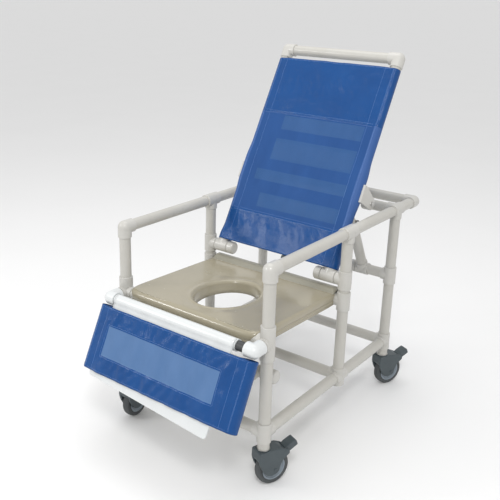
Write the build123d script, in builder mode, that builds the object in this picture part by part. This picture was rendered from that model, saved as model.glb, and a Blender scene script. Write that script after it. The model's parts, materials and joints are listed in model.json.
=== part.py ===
from build123d import *
from math import atan2, cos, radians, sin, sqrt
import os

# Reclining shower and commode chair: a glued pipe frame on four locking casters,
# a sling backrest held by two telescoping struts, a moulded commode seat and a
# swinging calf rest.
# Millimetres. +Z is up, the chair faces -Y, the sitter's left hand is at +X.
# The origin is on the floor, under the middle of the chair's bounding box.

# ---------------------------------------------------------------- pipe and fittings
pipe_od = 42.2
pipe_id = 35.0
fitting_od = 51.0
fitting_run = 37.0          # from a fitting's centre to the end of its run
fitting_branch = 38.0       # from a fitting's centre to the end of its branch
fitting_chamfer = 1.5
post_branch = 36.0          # the same, on the posts' own tees
rail_gap = 1.5              # a branch pipe stops this short of the pipe it meets
branch_relief = 1.4         # a fitting's branches are this much slimmer than its run
cap_length = 30.0
cap_wall = 4.0
turn_clearance = 0.1        # radial, wherever one piece turns on another
side_clearance = 1.5        # along an axis, between a turning piece and its stops

# ---------------------------------------------------------------- frame
post_spacing = 652.0        # left to right, centre to centre
mid_post_back = 495.0       # behind the front posts
rear_post_back = 885.0
push_rail_back = 1048.0
arm_height = 802.0
lower_rail_height = 212.0
post_foot = 150.0           # height of the posts' lower ends

# ---------------------------------------------------------------- seat
seat_rail_front_height = 548.0
seat_rail_rear_height = 530.0
seat_side_gap = 0.5         # between the seat and the posts' fittings
seat_wall = 6.0
seat_drop = 46.0            # depth of the side skirts
seat_front_over = 7.0       # the front roll's overhang past the rail
seat_back_over = 20.0       # the rear edge's place behind the rear rail's axis
lip_rise = 15.0
lip_width = 34.0
lip_round = 7.0
seat_front_round = 20.0
seat_end_round = 4.0
hole_width = 218.0
hole_length = 284.0
hole_back = 200.0           # the opening's centre behind the front posts
hole_wall = 5.0
hole_depth = 50.0
rib_spacing = 400.0
rib_wall = 8.0
rib_drop = 38.0             # the ribs' lower edges, below the seat's top

# ---------------------------------------------------------------- backrest
back_pivot_height = 615.0
back_recline = 29.0         # degrees from upright, as the chair stands
back_spacing = 516.0        # side tubes, centre to centre
back_length = 888.0         # pivot to head rail
back_cross_at = 350.0       # pivot to the strut tube
back_tee_run = 30.0
stop_stub_end = 179.0       # the inner ends of the stubs that the back lands on
sling_low = 25.0
sling_top_gap = 8.0         # bare side tube between the sling and the head elbows
sling_sheet = 3.0
sling_lift = 0.5            # between the fittings' fronts and the sheet
sling_gap = 1.0
strap_width = 38.0
strap_wall = 1.0
strap_places = (125.0, 222.0, 343.0, 482.0)
ear_gap = 0.1               # between the ears and the cross tees
ear_wall = 10.0
ear_base = 70.0
ear_low = 299.0
ear_reach = 88.0
ear_tip_radius = 25.0
ear_bolt_at = 321.0
bolt_diameter = 10.0
buckle_shift = 86.0
buckle_drop = 14.0          # how far it hangs below the sling
buckle_length = 62.0
buckle_width = 92.0
buckle_wall = 9.0

# ---------------------------------------------------------------- recline struts
strut_height = 516.0        # the lower pivots, on stubs from the rear posts
strut_offset = 200.0        # from the middle
strut_lower_length = 265.0
strut_upper_od = 26.7
strut_upper_id = 20.9
strut_upper_length = 284.0
strut_tee_run = 28.0
strut_knuckle_run = 25.0
strut_knuckle_arm = 44.0
strut_knuckle_od = 48.0
strut_collar = 30.0
knob_diameter = 34.0
knob_thickness = 14.0
knob_stem = 8.0
knob_tip = 17.8             # the stem's tip, from the tube's axis
knob_at = 38.0              # below the lower tube's mouth
rod_hole = 8.5
rod_holes = 6
rod_hole_pitch = 32.0
rod_hole_start = 24.0       # the first hole, above the rod's foot

# ---------------------------------------------------------------- calf rest
leg_hinge_height = 548.0
leg_hinge_reach = 75.0      # in front of the front posts
hinge_run = 62.0            # half the height of the fittings that carry the calf rest
hinge_branch = 32.0
hinge_elbow_arm = 30.0
leg_tilt = 26.0             # degrees forward of hanging straight down
leg_pivot_od = 34.0
leg_pivot_id = 28.0
leg_sleeve_gap = 34.0       # bare pivot tube beside the left-hand elbow
leg_rail_od = 33.4
leg_rail_id = 26.6
leg_top_rail = 62.0         # distances down the panel from the hinge
leg_low_rail = 205.0
leg_sling_high = 29.0
leg_sling_low = 268.0
leg_sling_sheet = 2.5
leg_sling_front = 23.7
leg_side_high = 36.0
leg_side_low = 258.0
saddle_length = 60.0
saddle_spacing = 200.0
saddle_wall = 26.0
leg_plug = 4.0
board_width = 562.0
board_shift = -19.0         # the board sits a little towards the sitter's right
board_tilt = 3.3
board_high = 140.0
board_low = 301.0           # at the board's middle
board_wall = 6.0
board_corner = 12.0
screw_spacing = 220.0
screw_head = 10.0
arm_offset = 230.0          # the counter-bar's arms, from the middle
arm_od = 26.7
arm_id = 20.9
bar_back = 103.0            # the counter-bar, behind the front posts
bar_half = 300.0

# ---------------------------------------------------------------- casters
wheel_diameter = 127.0
wheel_width = 32.0
tyre_round = 8.0
hub_diameter = 92.0
hub_boss = 28.0
hub_dish = 7.0              # depth of its faces, and width of its rim
axle_diameter = 12.0
axle_proud = 1.5            # of the hood, at each end
caster_trail = 36.0
hood_width = 58.0
hood_gap = 3.0
hood_crown = 15.0
hood_brow = 40.0            # depth of the hood's leading face
hood_round = 7.0
caster_head = 60.0
stem_diameter = 12.0
plug_length = 48.0
plug_flange = 3.0
flange_diameter = 46.0
stem_reach = 10.0           # down into the hood's crown
pedal_width = 40.0
pedal_length = 44.0
pedal_wall = 7.0
pedal_pin = 7.0
pedal_root = 18.0
pedal_slot = 30.0
pedal_reach = 52.0          # the pedal's pin, behind the axle
pedal_rise = 56.0           # and above it
pedal_lift = 22.0           # degrees, brake off
caster_turns = {"front_left": 68.0, "front_right": 95.0, "rear_left": 66.0, "rear_right": 114.0}

# ---------------------------------------------------------------- derived places
pipe_r = pipe_od / 2
fitting_r = fitting_od / 2
pipe_stop = pipe_r + rail_gap
side_x = post_spacing / 2
back_x = back_spacing / 2
tilt = radians(leg_tilt)
lean = radians(back_recline)

board_front = leg_rail_od / 2 + 0.5 + board_wall
board_reach = board_low + board_width / 2 * sin(radians(board_tilt))
front_end = -(leg_hinge_reach + board_reach * sin(tilt) + board_front * cos(tilt))
rear_end = push_rail_back + fitting_r
front_y = -(front_end + rear_end) / 2
mid_y = front_y + mid_post_back
rear_y = front_y + rear_post_back
push_y = front_y + push_rail_back
leg_y = front_y - leg_hinge_reach
cap_inset = side_clearance + cap_length - cap_wall
sling_high = back_length - fitting_branch - sling_top_gap
sling_front = fitting_r + sling_lift
seat_width = post_spacing - fitting_od - 2 * seat_side_gap
pivot_stub_end = back_x - back_tee_run - cap_inset
strut_stub_end = strut_offset - strut_tee_run - cap_inset
sides = {"right": -1, "left": 1}


def leg_point(x, down, front):
    """A point on the calf rest: down the panel from the hinge, and in front of its axes."""
    return Vector(
        x,
        leg_y - down * sin(tilt) - front * cos(tilt),
        leg_hinge_height - down * cos(tilt) + front * sin(tilt),
    )


def back_point(x, up, front):
    """A point on the backrest: up from the pivot, and in front of its side tubes' axes."""
    return Vector(
        x,
        mid_y + up * sin(lean) - front * cos(lean),
        back_pivot_height + up * cos(lean) + front * sin(lean),
    )


leg_down = leg_point(0, 1, 0) - leg_point(0, 0, 0)
leg_front = leg_point(0, 0, 1) - leg_point(0, 0, 0)
back_up = back_point(0, 1, 0) - back_point(0, 0, 0)
back_front = back_point(0, 0, 1) - back_point(0, 0, 0)
x_axis = Vector(1, 0, 0)
y_axis = Vector(0, 1, 0)
z_axis = Vector(0, 0, 1)


def add_rod(start, end, diameter, mode=Mode.ADD):
    """Adds or cuts a solid round bar from one point to another."""
    start, end = Vector(*start), Vector(*end)
    with BuildSketch(Plane(origin=start, z_dir=end - start)) as disc:
        Circle(diameter / 2)
    extrude(disc.sketch, amount=(end - start).length, mode=mode)


def add_pipe(start, end, outer=pipe_od, inner=pipe_id):
    """Adds a length of pipe from one point to another."""
    start, end = Vector(*start), Vector(*end)
    with BuildSketch(Plane(origin=start, z_dir=end - start)) as ring:
        Circle(outer / 2)
        Circle(inner / 2, mode=Mode.SUBTRACT)
    extrude(ring.sketch, amount=(end - start).length)


def make_bar(start, end, diameter, both_ends=False):
    """Makes a round bar with a chamfered rim at its end, or at both of its ends."""
    start, end = Vector(*start), Vector(*end)
    with BuildPart(mode=Mode.PRIVATE) as bar:
        add_rod(start, end, diameter)
        rims = bar.edges().filter_by(GeomType.CIRCLE)
        if not both_ends:
            rims = [rim for rim in rims if (rim.arc_center - end).length < 1]
        chamfer(rims, fitting_chamfer)
    return bar.part


def make_tee(centre, run, half_run, branches, outer=fitting_od, run_bore=pipe_od):
    """Makes one moulded tee or cross: a run bored right through, and branches off it.

    Each branch is a direction, a length and a bore. Its socket stops short of the run's
    bore, so a web of plastic stands between the two pipes.
    """
    centre = Vector(*centre)
    with BuildPart(mode=Mode.PRIVATE) as tee:
        add(make_bar(centre - run * half_run, centre + run * half_run, outer, both_ends=True))
        for direction, length, _ in branches:
            add(make_bar(centre, centre + direction * length, outer - branch_relief))
        add_rod(centre - run * half_run, centre + run * half_run, run_bore, mode=Mode.SUBTRACT)
        for direction, length, bore in branches:
            add_rod(centre + direction * pipe_stop, centre + direction * length, bore, mode=Mode.SUBTRACT)
    return tee.part


def make_elbow(centre, arms):
    """Makes one moulded elbow. Each arm is a direction, a length and a bore."""
    centre = Vector(*centre)
    with BuildPart(mode=Mode.PRIVATE) as elbow:
        for direction, length, _ in arms:
            add(make_bar(centre, centre + direction * length, fitting_od))
        with Locations(centre):
            Sphere(fitting_r)
        for direction, length, bore in arms:
            add_rod(centre + direction * pipe_stop, centre + direction * length, bore, mode=Mode.SUBTRACT)
        with Locations(centre):
            Sphere(pipe_id / 2, mode=Mode.SUBTRACT)
    return elbow.part


def make_cap(inner_end, direction, outer=fitting_od, bore=pipe_od):
    """Makes a round cap over a pipe that ends at inner_end, pointing along direction."""
    tip = Vector(*inner_end) + direction * cap_wall
    mouth = tip - direction * cap_length
    with BuildPart(mode=Mode.PRIVATE) as cap:
        add_rod(mouth, tip, outer)
        rims = cap.edges().filter_by(GeomType.CIRCLE)
        far = [rim for rim in rims if (rim.arc_center - tip).length < 1]
        near = [rim for rim in rims if (rim.arc_center - mouth).length < 1]
        fillet(far, 8)
        chamfer(near, fitting_chamfer)
        add_rod(mouth, inner_end, bore, mode=Mode.SUBTRACT)
    return cap.part


def finish(builder, name):
    """Labels a finished piece and writes it."""
    builder.part.label = name
    export_step(builder.part, f"parts/{name}.step")


os.makedirs("parts", exist_ok=True)

# ================================================================ fixed frame: pipes
stations = (front_y, mid_y, rear_y, push_y)
with BuildPart() as posts:
    for side in sides.values():
        for station, low in zip(stations, (post_foot, lower_rail_height - fitting_run, post_foot)):
            add_pipe((side * side_x, station, low), (side * side_x, station, arm_height - pipe_stop))
finish(posts, "posts")

with BuildPart() as arm_rails:
    for side in sides.values():
        for near, far in zip(stations, stations[1:]):
            add_pipe(
                (side * side_x, near + pipe_stop, arm_height),
                (side * side_x, far - pipe_stop, arm_height),
            )
finish(arm_rails, "arm_rails")

with BuildPart() as lower_rails:
    for side in sides.values():
        for near, far in zip(stations[:2], stations[1:3]):
            add_pipe(
                (side * side_x, near + pipe_stop, lower_rail_height),
                (side * side_x, far - pipe_stop, lower_rail_height),
            )
    for station in stations[:3]:
        add_pipe(
            (pipe_stop - side_x, station, lower_rail_height),
            (side_x - pipe_stop, station, lower_rail_height),
        )
finish(lower_rails, "lower_rails")

with BuildPart() as push_rail:
    add_pipe((pipe_stop - side_x, push_y, arm_height), (side_x - pipe_stop, push_y, arm_height))
finish(push_rail, "push_rail")

with BuildPart() as seat_rails:
    for station, height in ((front_y, seat_rail_front_height), (mid_y, seat_rail_rear_height)):
        add_pipe((pipe_stop - side_x, station, height), (side_x - pipe_stop, station, height))
finish(seat_rails, "seat_rails")

inner_stubs = (
    (pivot_stub_end, mid_y, back_pivot_height),
    (stop_stub_end, rear_y, arm_height),
    (strut_stub_end, rear_y, strut_height),
)
with BuildPart() as short_pipes:
    for side in sides.values():
        for end, station, height in inner_stubs:
            add_pipe((side * (side_x - pipe_stop), station, height), (side * end, station, height))
        add_pipe(
            (side * side_x, front_y - pipe_stop, leg_hinge_height),
            (side * side_x, leg_y + pipe_stop, leg_hinge_height),
        )
finish(short_pipes, "short_pipes")

with BuildPart() as stub_caps:
    for side in sides.values():
        for end, station, height in inner_stubs:
            add(make_cap((side * end, station, height), x_axis * -side))
finish(stub_caps, "stub_caps")

# ================================================================ fixed frame: fittings
def branch(direction, length=fitting_branch, bore=pipe_od):
    """One branch of a fitting."""
    return direction, length, bore


with BuildPart() as arm_elbows:
    for side in sides.values():
        add(make_elbow((side * side_x, front_y, arm_height), [branch(-z_axis), branch(y_axis)]))
        add(make_elbow((side * side_x, push_y, arm_height), [branch(-y_axis), branch(x_axis * -side)]))
finish(arm_elbows, "arm_elbows")

with BuildPart() as arm_tees:
    for side in sides.values():
        down, inward = branch(-z_axis), branch(x_axis * -side)
        add(make_tee((side * side_x, mid_y, arm_height), y_axis, fitting_run, [down]))
        add(make_tee((side * side_x, rear_y, arm_height), y_axis, fitting_run, [down, inward]))
finish(arm_tees, "arm_tees")

with BuildPart() as lower_tees:
    for side in sides.values():
        inward, ahead, behind = branch(x_axis * -side), branch(-y_axis), branch(y_axis)
        for station, rails in ((front_y, [behind]), (mid_y, [ahead, behind]), (rear_y, [ahead])):
            add(make_tee((side * side_x, station, lower_rail_height), z_axis, fitting_run, [inward, *rails]))
finish(lower_tees, "lower_tees")

with BuildPart() as post_tees:
    for side in sides.values():
        for station, height in (
            (mid_y, seat_rail_rear_height),
            (mid_y, back_pivot_height),
            (rear_y, strut_height),
        ):
            inward = branch(x_axis * -side, post_branch)
            add(make_tee((side * side_x, station, height), z_axis, fitting_run, [inward]))
finish(post_tees, "post_tees")

with BuildPart() as leg_hinge_tees:
    for side in sides.values():
        arms = [branch(-y_axis, hinge_branch), branch(x_axis * -side)]
        add(make_tee((side * side_x, front_y, leg_hinge_height), z_axis, hinge_run, arms))
finish(leg_hinge_tees, "leg_hinge_tees")

with BuildPart() as leg_hinge_elbows:
    for side in sides.values():
        arms = [branch(y_axis), branch(x_axis * -side, hinge_elbow_arm, leg_pivot_od)]
        add(make_elbow((side * side_x, leg_y, leg_hinge_height), arms))
finish(leg_hinge_elbows, "leg_hinge_elbows")

with BuildPart() as leg_pivot_tube:
    add_pipe(
        (pipe_stop - side_x, leg_y, leg_hinge_height),
        (side_x - pipe_stop, leg_y, leg_hinge_height),
        leg_pivot_od,
        leg_pivot_id,
    )
finish(leg_pivot_tube, "leg_pivot_tube")

# ================================================================ seat
rail_run = mid_post_back
seat_pitch = atan2(seat_rail_front_height - seat_rail_rear_height, rail_run)
seat_front = front_y - pipe_r - seat_front_over
seat_back = mid_y + pipe_r + seat_back_over - pipe_r
seat_top_front = seat_rail_front_height + pipe_r + seat_wall


def seat_top(y):
    """Height of the seat's flat top at a place along the chair."""
    return seat_top_front - (y - front_y) * sin(seat_pitch) / cos(seat_pitch)


def add_seat_profile(inset, drop, mode=Mode.ADD):
    """Adds or cuts the seat's long section, set in by a wall, over the whole width."""
    lip_start = seat_back - lip_width
    lip_top = seat_top(lip_start) + lip_rise - inset
    front_corner = (seat_front + inset, seat_top(seat_front) - inset)
    ramp_foot = (lip_start - lip_rise + inset / 2, seat_top(lip_start - lip_rise) - inset)
    ramp_head = (lip_start + inset / 2, lip_top)
    back_corner = (seat_back - inset, lip_top)
    with BuildSketch(Plane.YZ.offset(inset - seat_width / 2)) as section:
        with BuildLine():
            Polyline(
                (seat_front + inset, seat_top(seat_front) - drop),
                front_corner,
                ramp_foot,
                ramp_head,
                back_corner,
                (seat_back - inset, seat_top(seat_back) - drop),
                close=True,
            )
        make_face()
        fillet(section.vertices().sort_by_distance((*front_corner, 0))[0], seat_front_round - inset)
        for corner in (ramp_head, back_corner):
            fillet(section.vertices().sort_by_distance((*corner, 0))[0], lip_round - inset / 2)
        fillet(section.vertices().sort_by_distance((*ramp_foot, 0))[0], lip_round)
    extrude(section.sketch, amount=seat_width - 2 * inset, mode=mode)


hole_plane = Plane(origin=(0, front_y + hole_back, 0))
rib_front = seat_front + seat_wall / 2
rib_back = seat_back - seat_wall / 2
with BuildPart() as seat:
    add_seat_profile(0, seat_drop)
    ends = seat.edges().group_by(Axis.X)
    fillet(
        [edge for edge in ends[0] + ends[-1] if edge.center().Z > seat_top(edge.center().Y) - seat_drop / 3],
        seat_end_round,
    )
    add_seat_profile(seat_wall, seat_drop + seat_wall, mode=Mode.SUBTRACT)
    with BuildSketch(hole_plane.offset(seat_top(front_y + hole_back) - hole_depth)):
        Ellipse(hole_width / 2 + hole_wall, hole_length / 2 + hole_wall)
    extrude(amount=hole_depth - seat_wall / 2)
    for side in sides.values():
        with BuildSketch(Plane.YZ.offset(side * rib_spacing / 2 - rib_wall / 2)):
            with BuildLine():
                Polyline(
                    (rib_front, seat_top(seat_front) - rib_drop),
                    (rib_front, seat_top(seat_front) - 2 * seat_wall),
                    (rib_back, seat_top(seat_back) - seat_wall / 2),
                    (rib_back, seat_top(seat_back) - rib_drop),
                    close=True,
                )
            make_face()
        extrude(amount=rib_wall)
    with BuildSketch(hole_plane.offset(seat_top(front_y + hole_back) - hole_depth - 1)):
        Ellipse(hole_width / 2, hole_length / 2)
    extrude(amount=hole_depth + 40, mode=Mode.SUBTRACT)
    rims = seat.edges().filter_by(lambda edge: edge.length > 3 * hole_width)
    fillet(rims.sort_by(Axis.Z)[-1], hole_wall - 1)
    for station, height in ((front_y, seat_rail_front_height), (mid_y, seat_rail_rear_height)):
        add_rod((-side_x, station, height), (side_x, station, height), pipe_od, mode=Mode.SUBTRACT)
        with BuildSketch(Plane.YZ.offset(-side_x)):
            with Locations((station, height)):
                Circle(fitting_r + 1)
            with Locations((station, height - 50)):
                Rectangle(fitting_od + 2, 100)
        extrude(amount=side_x - seat_width / 2 + seat_wall + 6, mode=Mode.SUBTRACT)
        with BuildSketch(Plane.YZ.offset(side_x)):
            with Locations((station, height)):
                Circle(fitting_r + 1)
            with Locations((station, height - 50)):
                Rectangle(fitting_od + 2, 100)
        extrude(amount=-(side_x - seat_width / 2 + seat_wall + 6), mode=Mode.SUBTRACT)
finish(seat, "seat")

# ================================================================ backrest
turning = pipe_od + 2 * turn_clearance

with BuildPart() as back_side_tubes:
    for side in sides.values():
        add_pipe(
            back_point(side * back_x, pipe_stop, 0),
            back_point(side * back_x, back_length - pipe_stop, 0),
        )
finish(back_side_tubes, "back_side_tubes")

with BuildPart() as head_rail:
    add_pipe(back_point(pipe_stop - back_x, back_length, 0), back_point(back_x - pipe_stop, back_length, 0))
finish(head_rail, "head_rail")

with BuildPart() as head_elbows:
    for side in sides.values():
        arms = [branch(-back_up), branch(x_axis * -side)]
        add(make_elbow(back_point(side * back_x, back_length, 0), arms))
finish(head_elbows, "head_elbows")

with BuildPart() as back_pivot_tees:
    for side in sides.values():
        foot = back_point(side * back_x, 0, 0)
        add(make_tee(foot, x_axis, back_tee_run, [branch(back_up)], run_bore=turning))
finish(back_pivot_tees, "back_pivot_tees")

with BuildPart() as back_cross_tube:
    add_pipe(
        back_point(pipe_stop - back_x, back_cross_at, 0),
        back_point(back_x - pipe_stop, back_cross_at, 0),
    )
finish(back_cross_tube, "back_cross_tube")

cross_branch = back_x - strut_offset - strut_knuckle_run - side_clearance
with BuildPart() as back_cross_tees:
    for side in sides.values():
        middle = back_point(side * back_x, back_cross_at, 0)
        add(make_tee(middle, back_up, fitting_run, [branch(x_axis * -side, cross_branch)]))
finish(back_cross_tees, "back_cross_tees")

sling_half = back_x + pipe_r + sling_gap + sling_sheet
back_plane = Plane(origin=back_point(0, 0, sling_front), x_dir=x_axis, z_dir=back_front)
with BuildPart() as back_sling:
    with BuildSketch(back_plane):
        with Locations((0, (sling_low + sling_high) / 2)):
            Rectangle(2 * sling_half, sling_high - sling_low)
    extrude(amount=sling_sheet)
    flaps = (
        (fitting_branch + sling_gap, back_cross_at - fitting_run - sling_gap),
        (back_cross_at + fitting_run + sling_gap, sling_high),
    )
    with BuildSketch(back_plane):
        for low, high in flaps:
            with GridLocations(2 * sling_half - sling_sheet, 1, 2, 1):
                with Locations((0, (low + high) / 2)):
                    Rectangle(sling_sheet, high - low)
    extrude(amount=-(sling_front + pipe_r))
finish(back_sling, "back_sling")

with BuildPart() as back_straps:
    with BuildSketch(back_plane):
        for place in strap_places:
            with Locations((0, place)):
                Rectangle(2 * (back_x - fitting_r - sling_gap), strap_width)
    extrude(amount=-strap_wall)
finish(back_straps, "back_straps")

with BuildPart() as strap_buckle:
    with BuildSketch(back_plane.offset(-strap_wall)):
        with Locations((buckle_shift, sling_low - buckle_drop + buckle_length / 2)):
            RectangleRounded(buckle_width, buckle_length, 5)
    extrude(amount=-buckle_wall)
finish(strap_buckle, "strap_buckle")

ear_x = back_x + fitting_r + ear_gap
with BuildPart() as belt_ears:
    for side in sides.values():
        ear_plane = Plane(origin=back_point(side * ear_x, 0, 0), x_dir=-back_front, z_dir=x_axis * side)
        hand = ear_plane.y_dir.dot(back_up)
        with BuildSketch(ear_plane):
            with BuildLine():
                Polyline(
                    (-9, hand * ear_low),
                    (-9, hand * (ear_low + ear_base)),
                    (11, hand * (ear_low + ear_base)),
                    (ear_reach, hand * (ear_bolt_at + ear_tip_radius * 0.6)),
                    (ear_reach, hand * (ear_bolt_at - ear_tip_radius * 0.6)),
                    (20, hand * ear_low),
                    close=True,
                )
            make_face()
            with Locations((ear_reach, hand * ear_bolt_at)):
                Circle(ear_tip_radius)
            make_hull()
            with Locations((ear_reach, hand * ear_bolt_at)):
                Circle(bolt_diameter / 2, mode=Mode.SUBTRACT)
        extrude(amount=ear_wall)
    chamfer(belt_ears.edges().group_by(Axis.X)[0] + belt_ears.edges().group_by(Axis.X)[-1], 1.2)
finish(belt_ears, "belt_ears")

with BuildPart() as ear_bolts:
    for side in sides.values():
        inner = back_point(side * (ear_x - 6), ear_bolt_at, -ear_reach)
        outer = back_point(side * (ear_x + ear_wall + 5), ear_bolt_at, -ear_reach)
        add_rod(inner, outer, bolt_diameter)
        for start, step in ((back_point(side * ear_x, ear_bolt_at, -ear_reach), -6), (outer, -5)):
            add_rod(start, start + x_axis * side * step, 18)
finish(ear_bolts, "ear_bolts")

# ================================================================ recline struts
strut_foot = Vector(0, rear_y, strut_height)
strut_head = back_point(0, back_cross_at, 0)
strut_axis = (strut_head - strut_foot).normalized()
strut_rear = Vector(0, strut_axis.Z, -strut_axis.Y)


def strut_point(side, up, rear=0):
    """A point on a strut: up its axis from the lower pivot, and behind that axis."""
    return strut_foot + x_axis * side * strut_offset + strut_axis * up + strut_rear * rear


strut_length = (strut_head - strut_foot).length
knob_up = strut_lower_length - knob_at
rod_foot = strut_length - strut_upper_length

with BuildPart() as strut_tees:
    for side in sides.values():
        add(make_tee(strut_point(side, 0), x_axis, strut_tee_run, [branch(strut_axis)], run_bore=turning))
finish(strut_tees, "strut_tees")

with BuildPart() as strut_tubes:
    for side in sides.values():
        add_pipe(strut_point(side, pipe_stop), strut_point(side, strut_lower_length))
        add_rod(strut_point(side, knob_up), strut_point(side, knob_up, pipe_od), knob_stem, Mode.SUBTRACT)
finish(strut_tubes, "strut_tubes")

with BuildPart() as strut_collars:
    for side in sides.values():
        add_rod(
            strut_point(side, knob_up - strut_collar / 2),
            strut_point(side, knob_up + strut_collar / 2),
            fitting_od,
        )
    chamfer(strut_collars.edges().filter_by(GeomType.CIRCLE), fitting_chamfer)
    for side in sides.values():
        add_rod(strut_point(side, 0), strut_point(side, strut_length), pipe_od, mode=Mode.SUBTRACT)
        add_rod(strut_point(side, knob_up), strut_point(side, knob_up, pipe_od), knob_stem, Mode.SUBTRACT)
finish(strut_collars, "strut_collars")

knob_face = fitting_r + 1.5
with BuildPart() as strut_knobs:
    for side in sides.values():
        with BuildSketch(Plane(origin=strut_point(side, knob_up, knob_face), z_dir=strut_rear)):
            Circle(knob_diameter / 2 - 4)
            with PolarLocations(knob_diameter / 2 - 6, 5):
                Circle(6)
        extrude(amount=knob_thickness)
    fillet(strut_knobs.faces().group_by(Axis(origin=(0, 0, 0), direction=strut_rear))[-1].edges(), 2)
    for side in sides.values():
        add_rod(
            strut_point(side, knob_up, knob_tip),
            strut_point(side, knob_up, knob_face),
            knob_stem - 2 * turn_clearance,
        )
finish(strut_knobs, "strut_knobs")

with BuildPart() as strut_rods:
    for side in sides.values():
        add_pipe(
            strut_point(side, rod_foot),
            strut_point(side, strut_length - pipe_stop),
            strut_upper_od,
            strut_upper_id,
        )
        for step in range(rod_holes):
            hole = rod_foot + rod_hole_start + step * rod_hole_pitch
            hole_end = strut_point(side, hole, strut_upper_od)
            add_rod(strut_point(side, hole), hole_end, rod_hole, mode=Mode.SUBTRACT)
finish(strut_rods, "strut_rods")

with BuildPart() as strut_knuckles:
    for side in sides.values():
        arm = branch(-strut_axis, strut_knuckle_arm, strut_upper_od)
        head = strut_point(side, strut_length)
        add(make_tee(head, x_axis, strut_knuckle_run, [arm], outer=strut_knuckle_od, run_bore=turning))
finish(strut_knuckles, "strut_knuckles")

# ================================================================ calf rest
sleeve_left = side_x - hinge_elbow_arm - leg_sleeve_gap
sleeve_right = side_x - hinge_elbow_arm - side_clearance
with BuildPart() as leg_pivot_sleeve:
    add_pipe(
        (-sleeve_right, leg_y, leg_hinge_height),
        (sleeve_left, leg_y, leg_hinge_height),
        pipe_od,
        leg_pivot_od + 2 * turn_clearance,
    )
finish(leg_pivot_sleeve, "leg_pivot_sleeve")

rail_end = side_x + sqrt(pipe_r**2 - (leg_rail_od / 2) ** 2) - 0.5
with BuildPart() as leg_side_tubes:
    for side in sides.values():
        add_pipe(leg_point(side * side_x, leg_side_high, 0), leg_point(side * side_x, leg_side_low, 0))
    for down in (leg_top_rail, leg_low_rail):
        add_rod(
            leg_point(-rail_end, down, 0),
            leg_point(rail_end, down, 0),
            leg_rail_od,
            mode=Mode.SUBTRACT,
        )
finish(leg_side_tubes, "leg_side_tubes")

with BuildPart() as leg_cross_rails:
    for down in (leg_top_rail, leg_low_rail):
        add_pipe(
            leg_point(-rail_end, down, 0),
            leg_point(rail_end, down, 0),
            leg_rail_od,
            leg_rail_id,
        )
finish(leg_cross_rails, "leg_cross_rails")

with BuildPart() as leg_saddles:
    for side in (-1, 0, 1):
        near_end = leg_point(side * saddle_spacing - saddle_length / 2, leg_top_rail / 2, 0)
        with BuildSketch(Plane(origin=near_end, x_dir=leg_front, z_dir=x_axis)):
            Rectangle(saddle_wall, leg_top_rail)
        extrude(amount=saddle_length)
    for down, diameter in ((0, pipe_od), (leg_top_rail, leg_rail_od)):
        add_rod(leg_point(-side_x, down, 0), leg_point(side_x, down, 0), diameter, mode=Mode.SUBTRACT)
finish(leg_saddles, "leg_saddles")

with BuildPart() as leg_tube_caps:
    for side in sides.values():
        add_rod(
            leg_point(side * side_x, leg_side_low, 0),
            leg_point(side * side_x, leg_side_low + leg_plug, 0),
            pipe_od,
        )
    fillet(leg_tube_caps.edges().filter_by(GeomType.CIRCLE).sort_by(Axis.Z)[:2], 1.5)
finish(leg_tube_caps, "leg_tube_caps")

leg_half = side_x + pipe_r + 1.0 + leg_sling_sheet
leg_plane = Plane(origin=leg_point(0, 0, leg_sling_front), x_dir=x_axis, z_dir=leg_front)
down_sign = leg_plane.y_dir.dot(leg_down)
leg_sling_middle = down_sign * (leg_sling_high + leg_sling_low) / 2
with BuildPart() as leg_sling:
    with BuildSketch(leg_plane):
        with Locations((0, leg_sling_middle)):
            Rectangle(2 * leg_half, leg_sling_low - leg_sling_high)
    extrude(amount=leg_sling_sheet)
    for side in sides.values():
        with BuildSketch(leg_plane):
            with Locations((side * (leg_half - leg_sling_sheet / 2), leg_sling_middle)):
                Rectangle(leg_sling_sheet, leg_sling_low - leg_sling_high)
        extrude(amount=-(leg_sling_front + pipe_r))
finish(leg_sling, "leg_sling")

board_plane = Plane(origin=leg_point(0, 0, board_front - board_wall), x_dir=x_axis, z_dir=leg_front)
screw_places = [board_shift + place for place in (-screw_spacing, 0, screw_spacing)]
board_middle = (board_shift, down_sign * (board_high + board_low) / 2)
with BuildPart() as leg_board:
    with BuildSketch(board_plane):
        with Locations(Location(board_middle, down_sign * board_tilt)):
            RectangleRounded(board_width, board_low - board_high, board_corner)
    extrude(amount=board_wall)
    chamfer(leg_board.faces().group_by(Axis(origin=(0, 0, 0), direction=leg_front))[-1].edges(), 1)
    for place in screw_places:
        hole_end = leg_point(place, leg_low_rail, board_front + board_wall)
        add_rod(leg_point(place, leg_low_rail, 0), hole_end, screw_head, mode=Mode.SUBTRACT)
finish(leg_board, "leg_board")

with BuildPart() as board_screws:
    for place in screw_places:
        add_rod(
            leg_point(place, leg_low_rail, leg_rail_od / 2 + 0.3),
            leg_point(place, leg_low_rail, board_front),
            screw_head,
        )
finish(board_screws, "board_screws")

arm_start = leg_point(0, leg_low_rail, 0)
bar_axis = Vector(0, front_y + bar_back, arm_start.Z)
with BuildPart() as leg_arms:
    for side in sides.values():
        add_pipe(
            (side * arm_offset, arm_start.Y, arm_start.Z),
            (side * arm_offset, bar_axis.Y, bar_axis.Z),
            arm_od,
            arm_id,
        )
    for_rail = (leg_point(-side_x, leg_low_rail, 0), leg_point(side_x, leg_low_rail, 0))
    add_rod(*for_rail, leg_rail_od, mode=Mode.SUBTRACT)
    add_rod(bar_axis - x_axis * side_x, bar_axis + x_axis * side_x, pipe_od, mode=Mode.SUBTRACT)
finish(leg_arms, "leg_arms")

with BuildPart() as counter_bar:
    add_pipe(bar_axis - x_axis * (bar_half - cap_wall), bar_axis + x_axis * (bar_half - cap_wall))
finish(counter_bar, "counter_bar")

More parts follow.
